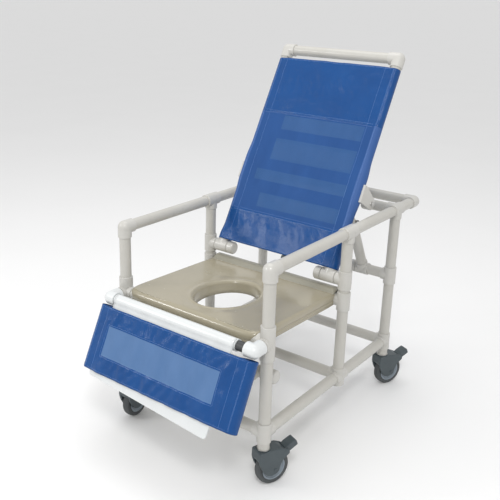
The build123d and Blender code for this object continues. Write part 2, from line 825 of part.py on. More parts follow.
with BuildPart() as counter_bar_caps:
    for side in sides.values():
        add(make_cap(bar_axis + x_axis * side * (bar_half - cap_wall), x_axis * side))
finish(counter_bar_caps, "counter_bar_caps")

# ================================================================ casters
wheel_r = wheel_diameter / 2
hood_inner = wheel_r + hood_gap
hood_top = wheel_diameter + hood_gap + hood_crown
pedal_hinge_x = caster_trail + pedal_reach
pedal_hinge_z = wheel_r + pedal_rise

with BuildPart() as caster_stems:
    for side in sides.values():
        for station in (front_y, rear_y):
            post_end = Vector(side * side_x, station, post_foot)
            stem_end = Vector(side * side_x, station, hood_top - stem_reach)
            add_rod(post_end, post_end + z_axis * plug_length, pipe_id)
            add_rod(post_end - z_axis * plug_flange, post_end, flange_diameter)
            add_rod(stem_end, post_end, stem_diameter)
finish(caster_stems, "caster_stems")

for corner, turn in caster_turns.items():
    station = front_y if corner.startswith("front") else rear_y
    side = sides[corner.split("_")[1]]
    heading = Vector(cos(radians(turn)), sin(radians(turn)), 0)
    across = Vector(-heading.Y, heading.X, 0)
    foot = Vector(side * side_x, station, 0)
    axle_point = foot + heading * caster_trail + z_axis * wheel_r
    hinge_point = foot + heading * pedal_hinge_x + z_axis * pedal_hinge_z
    wheel_half = across * (wheel_width / 2)
    wheel_room = across * (wheel_width / 2 + hood_gap)
    pedal_room = across * (pedal_width / 2 + 1)
    hood_side = across * (hood_width / 2)
    axle_half = across * (hood_width / 2 + axle_proud)
    crown = foot + z_axis * hood_top

    def side_plane(offset):
        """The caster's upright plane, offset across it, with X along its heading."""
        return Plane(origin=foot + across * offset, x_dir=heading, z_dir=-across)

    with BuildPart() as caster_hood:
        with BuildSketch(side_plane(hood_width / 2)):
            with BuildLine():
                Polyline(
                    (-caster_head / 2, hood_top),
                    (caster_head / 2, hood_top),
                    (pedal_hinge_x - 6, pedal_hinge_z + 8),
                    (pedal_hinge_x + 4, pedal_hinge_z - 6),
                    (caster_trail + 22, wheel_r - 14),
                    (caster_trail - 22, wheel_r - 14),
                    (-caster_head / 2, hood_top - hood_brow),
                    close=True,
                )
            make_face()
        extrude(amount=hood_width)
        fillet(caster_hood.edges().filter_by(Axis(origin=(0, 0, 0), direction=across)), hood_round)
        add_rod(axle_point - wheel_room, axle_point + wheel_room, 2 * hood_inner, mode=Mode.SUBTRACT)
        with BuildSketch(side_plane(wheel_width / 2 + hood_gap)):
            with Locations((caster_trail, 0)):
                Rectangle(2 * hood_inner, 2 * wheel_r)
        extrude(amount=wheel_width + 2 * hood_gap, mode=Mode.SUBTRACT)
        add_rod(hinge_point - pedal_room, hinge_point + pedal_room, pedal_slot, mode=Mode.SUBTRACT)
        add_rod(crown - z_axis * (stem_reach + 2), crown, stem_diameter + 2 * turn_clearance, Mode.SUBTRACT)
        add_rod(axle_point - hood_side, axle_point + hood_side, axle_diameter, Mode.SUBTRACT)
        add_rod(hinge_point - hood_side, hinge_point + hood_side, pedal_pin, Mode.SUBTRACT)
        with BuildPart(mode=Mode.PRIVATE) as pins:
            add_rod(axle_point - axle_half, axle_point + axle_half, axle_diameter)
            add_rod(hinge_point - hood_side, hinge_point + hood_side, pedal_pin)
    hood = Compound(children=[caster_hood.part, *pins.part.solids()])
    hood.label = f"caster_hood_{corner}"
    export_step(hood, f"parts/caster_hood_{corner}.step")

    with BuildPart() as caster_wheel:
        with BuildSketch(Plane(origin=axle_point - wheel_half, z_dir=across)):
            Circle(hub_diameter / 2)
        extrude(amount=wheel_width)
        for face in (-1, 1):
            with BuildSketch(Plane(origin=axle_point + wheel_half * face, z_dir=across * -face)):
                Circle(hub_diameter / 2 - hub_dish)
                Circle(hub_boss / 2, mode=Mode.SUBTRACT)
            extrude(amount=hub_dish, mode=Mode.SUBTRACT)
        bore = axle_diameter + 2 * turn_clearance
        add_rod(axle_point - wheel_half, axle_point + wheel_half, bore, mode=Mode.SUBTRACT)
    finish(caster_wheel, f"caster_wheel_{corner}")

    with BuildPart() as caster_tyre:
        with BuildSketch(Plane(origin=axle_point - wheel_half, z_dir=across)):
            Circle(wheel_r)
            Circle(hub_diameter / 2, mode=Mode.SUBTRACT)
        extrude(amount=wheel_width)
        circles = caster_tyre.edges().filter_by(GeomType.CIRCLE)
        fillet([edge for edge in circles if edge.radius > wheel_r - 1], tyre_round)
    finish(caster_tyre, f"caster_tyre_{corner}")

    with BuildPart() as caster_pedal:
        with BuildSketch(side_plane(pedal_width / 2)):
            with Locations((pedal_hinge_x, pedal_hinge_z)):
                Circle(pedal_root / 2)
            with Locations(Location((pedal_hinge_x, pedal_hinge_z), pedal_lift)):
                with Locations((pedal_length / 2, 0)):
                    RectangleRounded(pedal_length, pedal_wall, 3)
        extrude(amount=pedal_width)
        add_rod(
            hinge_point - pedal_room,
            hinge_point + pedal_room,
            pedal_pin + 2 * turn_clearance,
            mode=Mode.SUBTRACT,
        )
    finish(caster_pedal, f"caster_pedal_{corner}")
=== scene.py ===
"""Looks of the reclining shower and commode chair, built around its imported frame.

The pipework and its fittings are the frame's own nodes with finishes added here. The slings,
straps, seat, casters and small trim are surfaces worked out with numpy, in metres, in the frame's
own coordinates.
"""
import json
import logging
import math
from dataclasses import dataclass, field
from enum import Enum
from typing import Any, Callable, Sequence, Union

import bpy
import numpy as np
from mathutils import Matrix, Vector


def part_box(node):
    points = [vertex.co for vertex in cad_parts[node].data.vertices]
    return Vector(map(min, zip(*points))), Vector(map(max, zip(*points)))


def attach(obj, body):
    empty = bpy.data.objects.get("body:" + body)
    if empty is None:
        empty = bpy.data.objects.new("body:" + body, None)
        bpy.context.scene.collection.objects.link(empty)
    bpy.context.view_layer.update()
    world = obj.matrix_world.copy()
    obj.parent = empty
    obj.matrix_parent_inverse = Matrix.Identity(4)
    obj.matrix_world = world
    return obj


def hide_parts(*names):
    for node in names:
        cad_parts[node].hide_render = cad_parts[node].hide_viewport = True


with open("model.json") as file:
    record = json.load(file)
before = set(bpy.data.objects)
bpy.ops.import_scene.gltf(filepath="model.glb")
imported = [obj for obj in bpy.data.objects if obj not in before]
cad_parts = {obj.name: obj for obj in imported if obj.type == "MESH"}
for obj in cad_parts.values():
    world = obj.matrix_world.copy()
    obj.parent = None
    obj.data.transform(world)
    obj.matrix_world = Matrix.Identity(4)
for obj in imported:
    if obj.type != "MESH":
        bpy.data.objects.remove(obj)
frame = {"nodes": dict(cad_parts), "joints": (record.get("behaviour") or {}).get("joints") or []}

Array = np.ndarray
Colour = tuple[float, float, float]
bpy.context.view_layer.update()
LOG = logging.getLogger("recliner")
MM = 0.001

PIPE_R = 0.0211
FITTING_R = 0.0255
PIVOT_HEIGHT = 0.548  # of the calf rest's pivot tube above the floor
POST_X = 0.326  # the posts' and the calf rest's tubes, either side of the middle
BACK_X = 0.258  # the back's tubes, the same

# Sewing
STITCH = 0.0042  # from one stitch to the next
SEAM_END = 0.004  # the last stitch from a sheet's edge
EDGE_ROW = 0.006  # the outermost rows from the sheet's edges
SEAM_ROW = 0.005  # the rows either side of a seam
SLEEVE_ROWS = (8, 14)  # degrees round the tube
THREAD_R = 0.00042
THREAD_LIFT = 0.0002  # the thread above the cloth
BEAD_SIDES = 6
HEM_INSET = 0.030  # a sleeve's sewing line from its tube
WELT_HALF = 0.007
WELT_HEIGHT = 0.0007
MESH_SINK = 0.0008  # the mesh below the vinyl
TAIL_INSET = 0.006  # the sleeve's tail beyond the tube's round
TAIL_BEHIND = 0.0022  # the tail behind the panel
SLEEVE_EASE = 0.05  # width over which a sleeve runs out into the flat panel

# Points on a sling's path
TURN_POINTS = 33
TAIL_POINTS = 4
MARK_SIDE = 0.0012
MARK_CLEAR = 0.0016

# Casters, in millimetres
TRAIL = 36.0
AXLE_HEIGHT = 63.5
HOOD_ROUND = 67.0  # radius of the hood's hollow over the tyre
HOOD_HALF = 29.0
CHEEK_INNER = 19.2  # a cheek's inner face from the middle
CROWN_HALF = 24.0
HEAD_R = 7.5
HEAD_SPAN = (28.5, 31.0)
PEDAL_HALF = 18.6
PEDAL_PIN = (88.0, 119.5)

# A Mix node's colour sockets
MIX_FACTOR, MIX_FIRST, MIX_SECOND, MIX_RESULT = 0, 6, 7, 2


# ------------------------------------------------------------------ shader helpers
class Value:
    """A node's output socket that can be used in ordinary arithmetic."""

    def __init__(self, tree: bpy.types.NodeTree, socket: bpy.types.NodeSocket) -> None:
        """Wraps one output socket of one node tree."""
        self.tree = tree
        self.socket = socket

    def math(self, operation: str, *items: Union["Value", float], clamp: bool = False) -> "Value":
        """Adds one Math node.

        Args:
            operation: the Math node's operation.
            items: its inputs in order, this value among them.
            clamp: whether the result is kept between 0 and 1.

        Returns:
            The node's result.
        """
        node = self.tree.nodes.new("ShaderNodeMath")
        node.operation = operation
        node.use_clamp = clamp
        for place, item in enumerate(items):
            connect(self.tree, node.inputs[place], item)
        return Value(self.tree, node.outputs[0])

    def __add__(self, other: Union["Value", float]) -> "Value":
        """Sum."""
        return self.math("ADD", self, other)

    __radd__ = __add__

    def __sub__(self, other: Union["Value", float]) -> "Value":
        """Difference."""
        return self.math("SUBTRACT", self, other)

    def __rsub__(self, other: float) -> "Value":
        """Difference from a number."""
        return self.math("SUBTRACT", other, self)

    def __mul__(self, other: Union["Value", float]) -> "Value":
        """Product."""
        return self.math("MULTIPLY", self, other)

    __rmul__ = __mul__

    def __abs__(self) -> "Value":
        """Size without sign."""
        return self.math("ABSOLUTE", self)

    def wave(self) -> "Value":
        """Sine of the value in radians."""
        return self.math("SINE", self)

    def larger(self, other: Union["Value", float]) -> "Value":
        """The larger of two values."""
        return self.math("MAXIMUM", self, other)

    def ramp(self, low: float, high: float) -> "Value":
        """0 below low, 1 above high, a straight line between."""
        return self.math("MULTIPLY_ADD", self, 1 / (high - low), -low / (high - low), clamp=True)


def connect(tree: bpy.types.NodeTree, socket: bpy.types.NodeSocket, item: Any) -> None:
    """Links a value to a socket, or sets the socket to a constant."""
    if isinstance(item, Value):
        tree.links.new(item.socket, socket)
    elif isinstance(item, tuple) and len(item) == 3 and socket.type == "RGBA":
        socket.default_value = (*item, 1.0)
    else:
        socket.default_value = item


class Paint:
    """A material being put together."""

    def __init__(self, name: str) -> None:
        """Starts an empty material with a Principled shader."""
        self.material = bpy.data.materials.new(name)
        self.material.use_nodes = True
        self.tree = self.material.node_tree
        self.tree.nodes.clear()
        self.shader = self.tree.nodes.new("ShaderNodeBsdfPrincipled")
        output = self.tree.nodes.new("ShaderNodeOutputMaterial")
        self.tree.links.new(self.shader.outputs[0], output.inputs["Surface"])

    def node(
        self, kind: str, settings: dict[str, Any], sockets: dict[Any, Any], output: Any = 0
    ) -> Value:
        """Adds any node.

        Args:
            kind: the node's type.
            settings: its settings, set first.
            sockets: a value or constant for each input.
            output: which output is wanted.

        Returns:
            That output.
        """
        made = self.tree.nodes.new(kind)
        for name, value in settings.items():
            setattr(made, name, value)
        for key, item in sockets.items():
            connect(self.tree, made.inputs[key], item)
        return Value(self.tree, made.outputs[output])

    def place(self) -> Value:
        """The point on the object, in metres."""
        return self.node("ShaderNodeTexCoord", {}, {}, "Object")

    def cloth(self) -> Value:
        """The point on the cloth's own map, in metres."""
        return self.node("ShaderNodeUVMap", {"uv_map": "cloth"}, {})

    def split(self, vector: Value) -> tuple[Value, Value, Value]:
        """The three parts of a vector."""
        parts = self.tree.nodes.new("ShaderNodeSeparateXYZ")
        connect(self.tree, parts.inputs[0], vector)
        first, second, third = (Value(self.tree, socket) for socket in parts.outputs)
        return first, second, third

    def noise(
        self, vector: Value, scale: float, detail: float = 3.0, stretch: Sequence[float] = (1, 1, 1)
    ) -> Value:
        """Smooth noise from 0 to 1, stretched along each axis."""
        mapped = self.node("ShaderNodeMapping", {}, {"Vector": vector, "Scale": tuple(stretch)})
        sockets = {"Vector": mapped, "Scale": scale, "Detail": detail, "Roughness": 0.55}
        return self.node("ShaderNodeTexNoise", {}, sockets)

    def mix(self, factor: Union[Value, float], first: Any, second: Any) -> Value:
        """Mixes two colours."""
        made = self.tree.nodes.new("ShaderNodeMix")
        made.data_type = "RGBA"
        connect(self.tree, made.inputs[MIX_FACTOR], factor)
        connect(self.tree, made.inputs[MIX_FIRST], first)
        connect(self.tree, made.inputs[MIX_SECOND], second)
        return Value(self.tree, made.outputs[MIX_RESULT])

    def bump(self, height: Value, distance: float, strength: float = 1.0) -> Value:
        """A normal bent by a height that runs from 0 to 1 over a distance in metres."""
        sockets = {"Height": height, "Distance": distance, "Strength": strength}
        return self.node("ShaderNodeBump", {}, sockets)

    def finish(self, **sockets: Any) -> bpy.types.Material:
        """Sets the shader's sockets, named with underscores, and returns the material."""
        for name, item in sockets.items():
            connect(self.tree, self.shader.inputs[name.replace("_", " ")], item)
        return self.material


# ------------------------------------------------------------------ finishes
@dataclass(frozen=True)
class PipePlastic:
    """Extruded or moulded rigid vinyl: off-white, semi-gloss, faintly uneven, dusty in places."""

    name: str
    colour: Colour
    shade: Colour
    gloss: float
    dulling: float = 0.86

    def make(self) -> bpy.types.Material:
        """Builds the material."""
        paint = Paint(self.name)
        point = paint.place()
        cloud = paint.noise(point, 9.0, 4.0)
        speck = paint.noise(point, 240.0, 2.0)
        scuff = paint.noise(point, 70.0, 5.0, (1.0, 1.0, 0.25)).ramp(0.62, 0.74)
        colour = paint.mix(cloud.ramp(0.3, 0.75) * 0.8, self.colour, self.shade)
        dulled = tuple(self.dulling * part for part in self.shade)
        colour = paint.mix(scuff * 0.35, colour, dulled)
        rough = self.gloss + 0.1 * cloud + 0.18 * scuff
        normal = paint.bump(speck + cloud * 2.0, 0.00016, 0.6)
        return paint.finish(
            Base_Color=colour, Roughness=rough, Normal=normal, Coat_Weight=0.12, IOR=1.5
        )


@dataclass(frozen=True)
class SeatPlastic:
    """Thick moulded seat skin: khaki, glossy, with a fine orange-peel surface."""

    name: str
    colour: Colour
    shade: Colour
    gloss: float = 0.2

    def make(self) -> bpy.types.Material:
        """Builds the material."""
        paint = Paint(self.name)
        point = paint.place()
        cloud = paint.noise(point, 5.0, 4.0)
        peel = paint.noise(point, 420.0, 2.0)
        swell = paint.noise(point, 16.0, 2.0)
        rub = paint.noise(point, 34.0, 6.0).ramp(0.55, 0.8)
        colour = paint.mix(cloud.ramp(0.3, 0.7), self.colour, self.shade)
        rough = self.gloss + 0.05 * cloud + 0.08 * rub
        normal = paint.bump(peel * 0.08 + swell * 3.0, 0.0004, 0.5)
        return paint.finish(
            Base_Color=colour, Roughness=rough, Normal=normal, Coat_Weight=0.3, IOR=1.5
        )


@dataclass(frozen=True)
class CoatedCloth:
    """Vinyl-coated sling cloth: a pebbled skin over a woven base, glossy on its high spots."""

    name: str
    colour: Colour
    shade: Colour
    pitch: float = 0.0016

    def make(self) -> bpy.types.Material:
        """Builds the material."""
        paint = Paint(self.name)
        point = paint.cloth()
        across, along, _ = paint.split(point)
        turn = math.tau / self.pitch
        weave = (across * turn).wave() * (along * turn).wave()
        pebble = paint.noise(point, 900.0, 2.0)
        pucker = paint.noise(point, 26.0, 3.0, (1.0, 0.55, 1.0))
        cloud = paint.noise(point, 7.0, 3.0)
        colour = paint.mix(cloud.ramp(0.25, 0.8), self.colour, self.shade)
        crumple = paint.noise(point, 11.0, 1.5, (1.0, 1.7, 1.0))
        height = weave * 0.03 + pebble * 0.10 + pucker * 2.2 + crumple * 3.5
        rough = 0.17 + 0.12 * cloud
        normal = paint.bump(height, 0.0016, 0.9)
        return paint.finish(
            Base_Color=colour,
            Roughness=rough,
            Normal=normal,
            Coat_Weight=0.06,
            Specular_IOR_Level=0.32,
            IOR=1.45,
        )


@dataclass(frozen=True)
class OpenMesh:
    """Open sling mesh: coated threads with small square holes that light comes through."""

    name: str
    colour: Colour
    shade: Colour
    pitch: float = 0.0022
    cover: float = 0.95

    def make(self) -> bpy.types.Material:
        """Builds the material. The threads are where either of two sine grids is high."""
        paint = Paint(self.name)
        point = paint.cloth()
        across, along, _ = paint.split(point)
        warp = abs((across * (math.pi / self.pitch)).wave())
        weft = abs((along * (math.pi / self.pitch)).wave())
        hole = (1 - warp.larger(weft)).ramp(0.02, 0.2)
        cloud = paint.noise(point, 11.0, 3.0, (1.0, 0.4, 1.0))
        colour = paint.mix(cloud.ramp(0.3, 0.75), self.colour, self.shade)
        lumps = paint.noise(point, 30.0, 2.0, (1.0, 0.3, 1.0))
        alpha = self.cover + 0.04 * cloud - 0.2 * hole
        normal = paint.bump(warp.larger(weft) * 0.12 + lumps * 1.6, 0.001, 0.7)
        rough = 0.48 + 0.15 * cloud
        return paint.finish(
            Base_Color=colour, Roughness=rough, Alpha=alpha, Normal=normal, Specular_IOR_Level=0.3
        )


@dataclass(frozen=True)
class Webbing:
    """Woven strap: diagonal ribs across a dull, dark or coloured tape."""

    name: str
    colour: Colour
    shade: Colour
    pitch: float = 0.0024

    def make(self) -> bpy.types.Material:
        """Builds the material."""
        paint = Paint(self.name)
        point = paint.cloth()
        across, along, _ = paint.split(point)
        rib = ((across + along) * (math.tau / self.pitch)).wave()
        cross = ((across - along) * (math.tau / self.pitch)).wave()
        fuzz = paint.noise(point, 600.0, 3.0)
        colour = paint.mix((rib * 0.25 + fuzz).ramp(0.2, 0.9), self.colour, self.shade)
        normal = paint.bump(rib * 0.4 + cross * 0.25 + fuzz * 0.4, 0.0004, 0.8)
        rough = 0.7 + 0.15 * fuzz
        return paint.finish(Base_Color=colour, Roughness=rough, Normal=normal, Sheen_Weight=0.2)


@dataclass(frozen=True)
class HardPart:
    """Engineering plastic, rubber or metal with a fine grain, dulled at random."""

    name: str
    colour: Colour
    shade: Colour
    roughness: float
    grain: float = 500.0
    depth: float = 0.00015
    metallic: float = 0.0

    def make(self) -> bpy.types.Material:
        """Builds the material."""
        paint = Paint(self.name)
        point = paint.place()
        cloud = paint.noise(point, 24.0, 4.0)
        grain = paint.noise(point, self.grain, 3.0)
        dust = paint.noise(point, 90.0, 6.0).ramp(0.58, 0.78)
        colour = paint.mix(cloud.ramp(0.3, 0.8), self.colour, self.shade)
        rough = self.roughness + 0.12 * dust + 0.06 * grain
        normal = paint.bump(grain + cloud, self.depth, 0.6)
        return paint.finish(
            Base_Color=colour, Roughness=rough, Normal=normal, Metallic=self.metallic, IOR=1.48
        )


class Finish(Enum):
    """Every finish on the chair, by what it is on."""

    PIPE = PipePlastic("ivory_pipe", (0.50, 0.49, 0.455), (0.455, 0.44, 0.40), 0.3)
    FITTING = PipePlastic("ivory_fitting", (0.525, 0.515, 0.485), (0.475, 0.465, 0.43), 0.26)
    BRIGHT = PipePlastic("white_moulding", (0.68, 0.70, 0.70), (0.62, 0.64, 0.64), 0.24)
    SEAT = SeatPlastic("khaki_seat", (0.345, 0.31, 0.225), (0.31, 0.28, 0.20))
    LIP = SeatPlastic("seat_back_lip", (0.34, 0.325, 0.265), (0.30, 0.285, 0.225), 0.34)
    VINYL = CoatedCloth("blue_vinyl", (0.006, 0.066, 0.235), (0.004, 0.052, 0.195))
    MESH = OpenMesh("blue_mesh", (0.026, 0.094, 0.262), (0.020, 0.082, 0.235), 0.0022, 1.0)
    BACKED_MESH = OpenMesh("backed_mesh", (0.009, 0.066, 0.232), (0.006, 0.054, 0.20), 0.0022, 1.2)
    SLEEVE_MESH = OpenMesh("sleeve_mesh", (0.036, 0.10, 0.29), (0.028, 0.085, 0.255), 0.0022, 1.2)
    # Painted light: the calf sling's mesh, its blue lightened to stand in for the white pipes and
    # floor seen through it.
    PALE_MESH = OpenMesh("blue_mesh_painted_backlight", (0.085, 0.172, 0.345), (0.07, 0.15, 0.31), 0.0026, 1.2)
    THREAD = Webbing("blue_thread", (0.22, 0.38, 0.72), (0.16, 0.30, 0.62))
    BLACK_TAPE = Webbing("black_tape", (0.012, 0.012, 0.014), (0.025, 0.025, 0.028))
    # Dark grey for the exposed pivot tube: partly the tube's own colour and partly painted shade, as
    # that end of it lies in shadow beside the hinge fitting.
    TUBE = HardPart("dark_tube_and_painted_shade", (0.075, 0.078, 0.078), (0.055, 0.057, 0.057), 0.38, metallic=0.35)
    STEEL = HardPart("plated_steel", (0.62, 0.62, 0.61), (0.52, 0.52, 0.51), 0.28, metallic=1.0)
    CHARCOAL = HardPart("charcoal_moulding", (0.062, 0.080, 0.088), (0.048, 0.062, 0.070), 0.42)
    HUB = HardPart("grey_hub", (0.235, 0.275, 0.315), (0.19, 0.225, 0.26), 0.38)
    TYRE = HardPart("grey_tread", (0.070, 0.076, 0.078), (0.050, 0.055, 0.058), 0.6, 260.0, 0.0003)

    def dress(self, piece: bpy.types.Object) -> None:
        """Puts this finish on a piece as its only material."""
        piece.data.materials.clear()
        piece.data.materials.append(made_material(self))


_MATERIALS: dict[str, bpy.types.Material] = {}


def made_material(finish: Finish) -> bpy.types.Material:
    """The finish's material, built the first time that it is asked for."""
    if finish.name not in _MATERIALS:
        _MATERIALS[finish.name] = finish.value.make()
    return _MATERIALS[finish.name]


# ------------------------------------------------------------------ surfaces
def smooth(value: Array, low: float, high: float) -> Array:
    """0 below low, 1 above high, and a cubic ease between."""
    part = np.clip((value - low) / (high - low), 0.0, 1.0)
    return part * part * (3 - 2 * part)


def signed_volume(points: Array, faces: Array) -> float:
    """Volume inside quads, positive where their normals point out: a sixth of each triple product."""
    a, b, c, d = (points[faces[:, corner]] for corner in range(4))
    halves = np.einsum("ij,ij->i", a, np.cross(b, c)) + np.einsum("ij,ij->i", a, np.cross(c, d))
    return float(halves.sum() / 6)


def grid_faces(rows: int, columns: int, wrap_rows: bool, wrap_columns: bool) -> Array:
    """Quads of a grid of points, as four indices each, joined end to end where it wraps."""
    row = np.arange(rows if wrap_rows else rows - 1)
    column = np.arange(columns if wrap_columns else columns - 1)
    first, second = np.meshgrid(row, column, indexing="ij")
    next_row, next_column = (first + 1) % rows, (second + 1) % columns
    corners = [first * columns + second, next_row * columns + second]
    corners += [next_row * columns + next_column, first * columns + next_column]
    return np.stack(corners, axis=-1).reshape(-1, 4)


def sheet_faces(grid: Array) -> Array:
    """Quads of an open sheet's grid of points."""
    return grid_faces(*grid.shape[:2], False, False)


def build_piece(
    name: str,
    points: Array,
    faces: Array,
    caps: Sequence[Array] = (),
    cloth_map: Union[Array, None] = None,
    slots: Union[Array, None] = None,
) -> bpy.types.Object:
    """Makes a smooth-shaded object from points and quads.

    Args:
        name: the piece's name.
        points: one row of x, y, z for each vertex.
        faces: four vertex indices for each quad.
        caps: vertex indices of each flat end.
        cloth_map: one row of u, v for each vertex, in metres.
        slots: the material's place for each quad.

    Returns:
        The new object, linked to the scene.
    """
    mesh = bpy.data.meshes.new(name)
    polygons = faces.tolist() + [list(map(int, cap)) for cap in caps]
    mesh.from_pydata(points.reshape(-1, 3).tolist(), [], polygons)
    if cloth_map is not None:
        layer = mesh.uv_layers.new(name="cloth")
        corners = np.empty(len(mesh.loops), dtype=np.int32)
        mesh.loops.foreach_get("vertex_index", corners)
        layer.data.foreach_set("uv", cloth_map.reshape(-1, 2)[corners].astype(np.float32).ravel())
    if slots is not None:
        mesh.polygons.foreach_set("material_index", slots.astype(np.int32))
    mesh.polygons.foreach_set("use_smooth", np.ones(len(mesh.polygons), dtype=bool))
    mesh.update()
    piece = bpy.data.objects.new(name, mesh)
    bpy.context.scene.collection.objects.link(piece)
    return piece


def closed_surface(
    name: str, grid: Array, wrap_rows: bool = True, cap_rows: bool = False
) -> bpy.types.Object:
    """Makes a closed piece from a grid whose columns join up, with its normals pointing out.

    Args:
        name: the piece's name.
        grid: rows by columns by three.
        wrap_rows: whether the last row joins the first.
        cap_rows: whether the first and last rows are closed with flat ends.

    Returns:
        The new object.
    """
    rows, columns = grid.shape[:2]
    points = grid.reshape(-1, 3)
    faces = grid_faces(rows, columns, wrap_rows, True)
    ring = np.arange(columns)
    caps = [ring, (rows - 1) * columns + ring[::-1]] if cap_rows else []
    centred = points - points.mean(axis=0)
    if signed_volume(centred, faces) < 0:
        faces = faces[:, ::-1]
        caps = [cap[::-1] for cap in caps]
    return build_piece(name, points, faces, caps)


def crease(piece: bpy.types.Object, width: float, segments: int = 2) -> None:
    """Rounds a piece's sharp edges with a Bevel modifier."""
    bevel = piece.modifiers.new("edge", "BEVEL")
    bevel.width = width
    bevel.segments = segments
    bevel.limit_method = "ANGLE"
    bevel.angle_limit = math.radians(35)
    bevel.harden_normals = False


def thicken(piece: bpy.types.Object, wall: float, offset: float = 0.0) -> None:
    """Gives a sheet its wall with a Solidify modifier."""
    solid = piece.modifiers.new("wall", "SOLIDIFY")
    solid.thickness = wall
    solid.offset = offset
    solid.use_even_offset = False


def centre(node: str) -> Array:
    """The middle of a node's box."""
    low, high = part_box(node)
    return (np.array(low) + np.array(high)) / 2


def joint(name: str) -> tuple[Array, Array]:
    """A joint's point and axis."""
    found = next(entry for entry in frame["joints"] if entry["name"] == name)
    return np.array(found["pos_m"], float), np.array(found["axis"], float)


def unit(vector: Array) -> Array:
    """The vector at length one."""
    return vector / np.linalg.norm(vector)


@dataclass(frozen=True)
class Panel:
    """A flat working plane that swings about a pivot: x across, along away from it, and front."""

    pivot: Array
    along: Array
    front: Array

    @classmethod
    def through(cls, joint_name: str, node: str) -> "Panel":
        """The panel from a joint's pivot towards the middle of a node."""
        pivot, _ = joint(joint_name)
        away = centre(node) - pivot
        away[0] = 0.0
        along = unit(away)
        front = np.array([0.0, -abs(along[2]), along[1] * np.sign(along[2])])
        return cls(pivot, along, front)

    def at(self, x: Array, along: Array, front: Array) -> Array:
        """Points from arrays of x, distance from the pivot and distance in front."""
        x, along, front = np.broadcast_arrays(x, along, front)
        across = np.stack([x, np.zeros_like(x), np.zeros_like(x)], axis=-1)
        return self.pivot + across + along[..., None] * self.along + front[..., None] * self.front


# ------------------------------------------------------------------ slings
@dataclass(frozen=True)
class Folds:
    """Soft folds of a stretched sheet: a few slanted waves, bent by one another."""

    seed: int
    height: float
    across: float
    along: float
    count: int = 7

    def pucker(self, x: Array, along: Array, edges: Sequence[float]) -> Array:
        """Short gathers beside some edges: a drifting sine across, fading as a bell curve."""
        draw = np.random.default_rng(self.seed + 1)
        total = np.zeros(np.broadcast(x, along).shape)
        for edge in edges:
            phase, drift = draw.uniform(0, math.tau), draw.uniform(18, 30)
            wide = draw.uniform(0.034, 0.046)
            drifting = 1.6 * np.sin(drift * x + phase)
            wave = np.sin(math.tau * x / wide + drifting + 40 * (along - edge))
            bell = np.exp(-(((along - edge) / 0.016) ** 2))
            total += wave * bell * (0.6 + 0.4 * np.sin(11 * x + 2 * phase))
        return 0.9 * self.height * total

    def lift(self, x: Array, along: Array) -> Array:
        """Sum of sines of slanted coordinates, each with its own phase, whose phase also drifts."""
        draw = np.random.default_rng(self.seed)
        total = np.zeros(np.broadcast(x, along).shape)
        for _ in range(self.count):
            wide, tall = draw.uniform(0.6, 1.5, 2)
            slant, phase = draw.uniform(-0.7, 0.7), draw.uniform(0, math.tau)
            drift = 3 * draw.uniform(2, 7)
            slanted = x / (self.across * wide) + slant * along / (self.along * tall)
            turn = math.tau * slanted + phase
            total += np.sin(turn + 0.9 * np.sin(drift * along + phase)) * draw.uniform(0.4, 1.0)
        return self.height * total / math.sqrt(self.count)


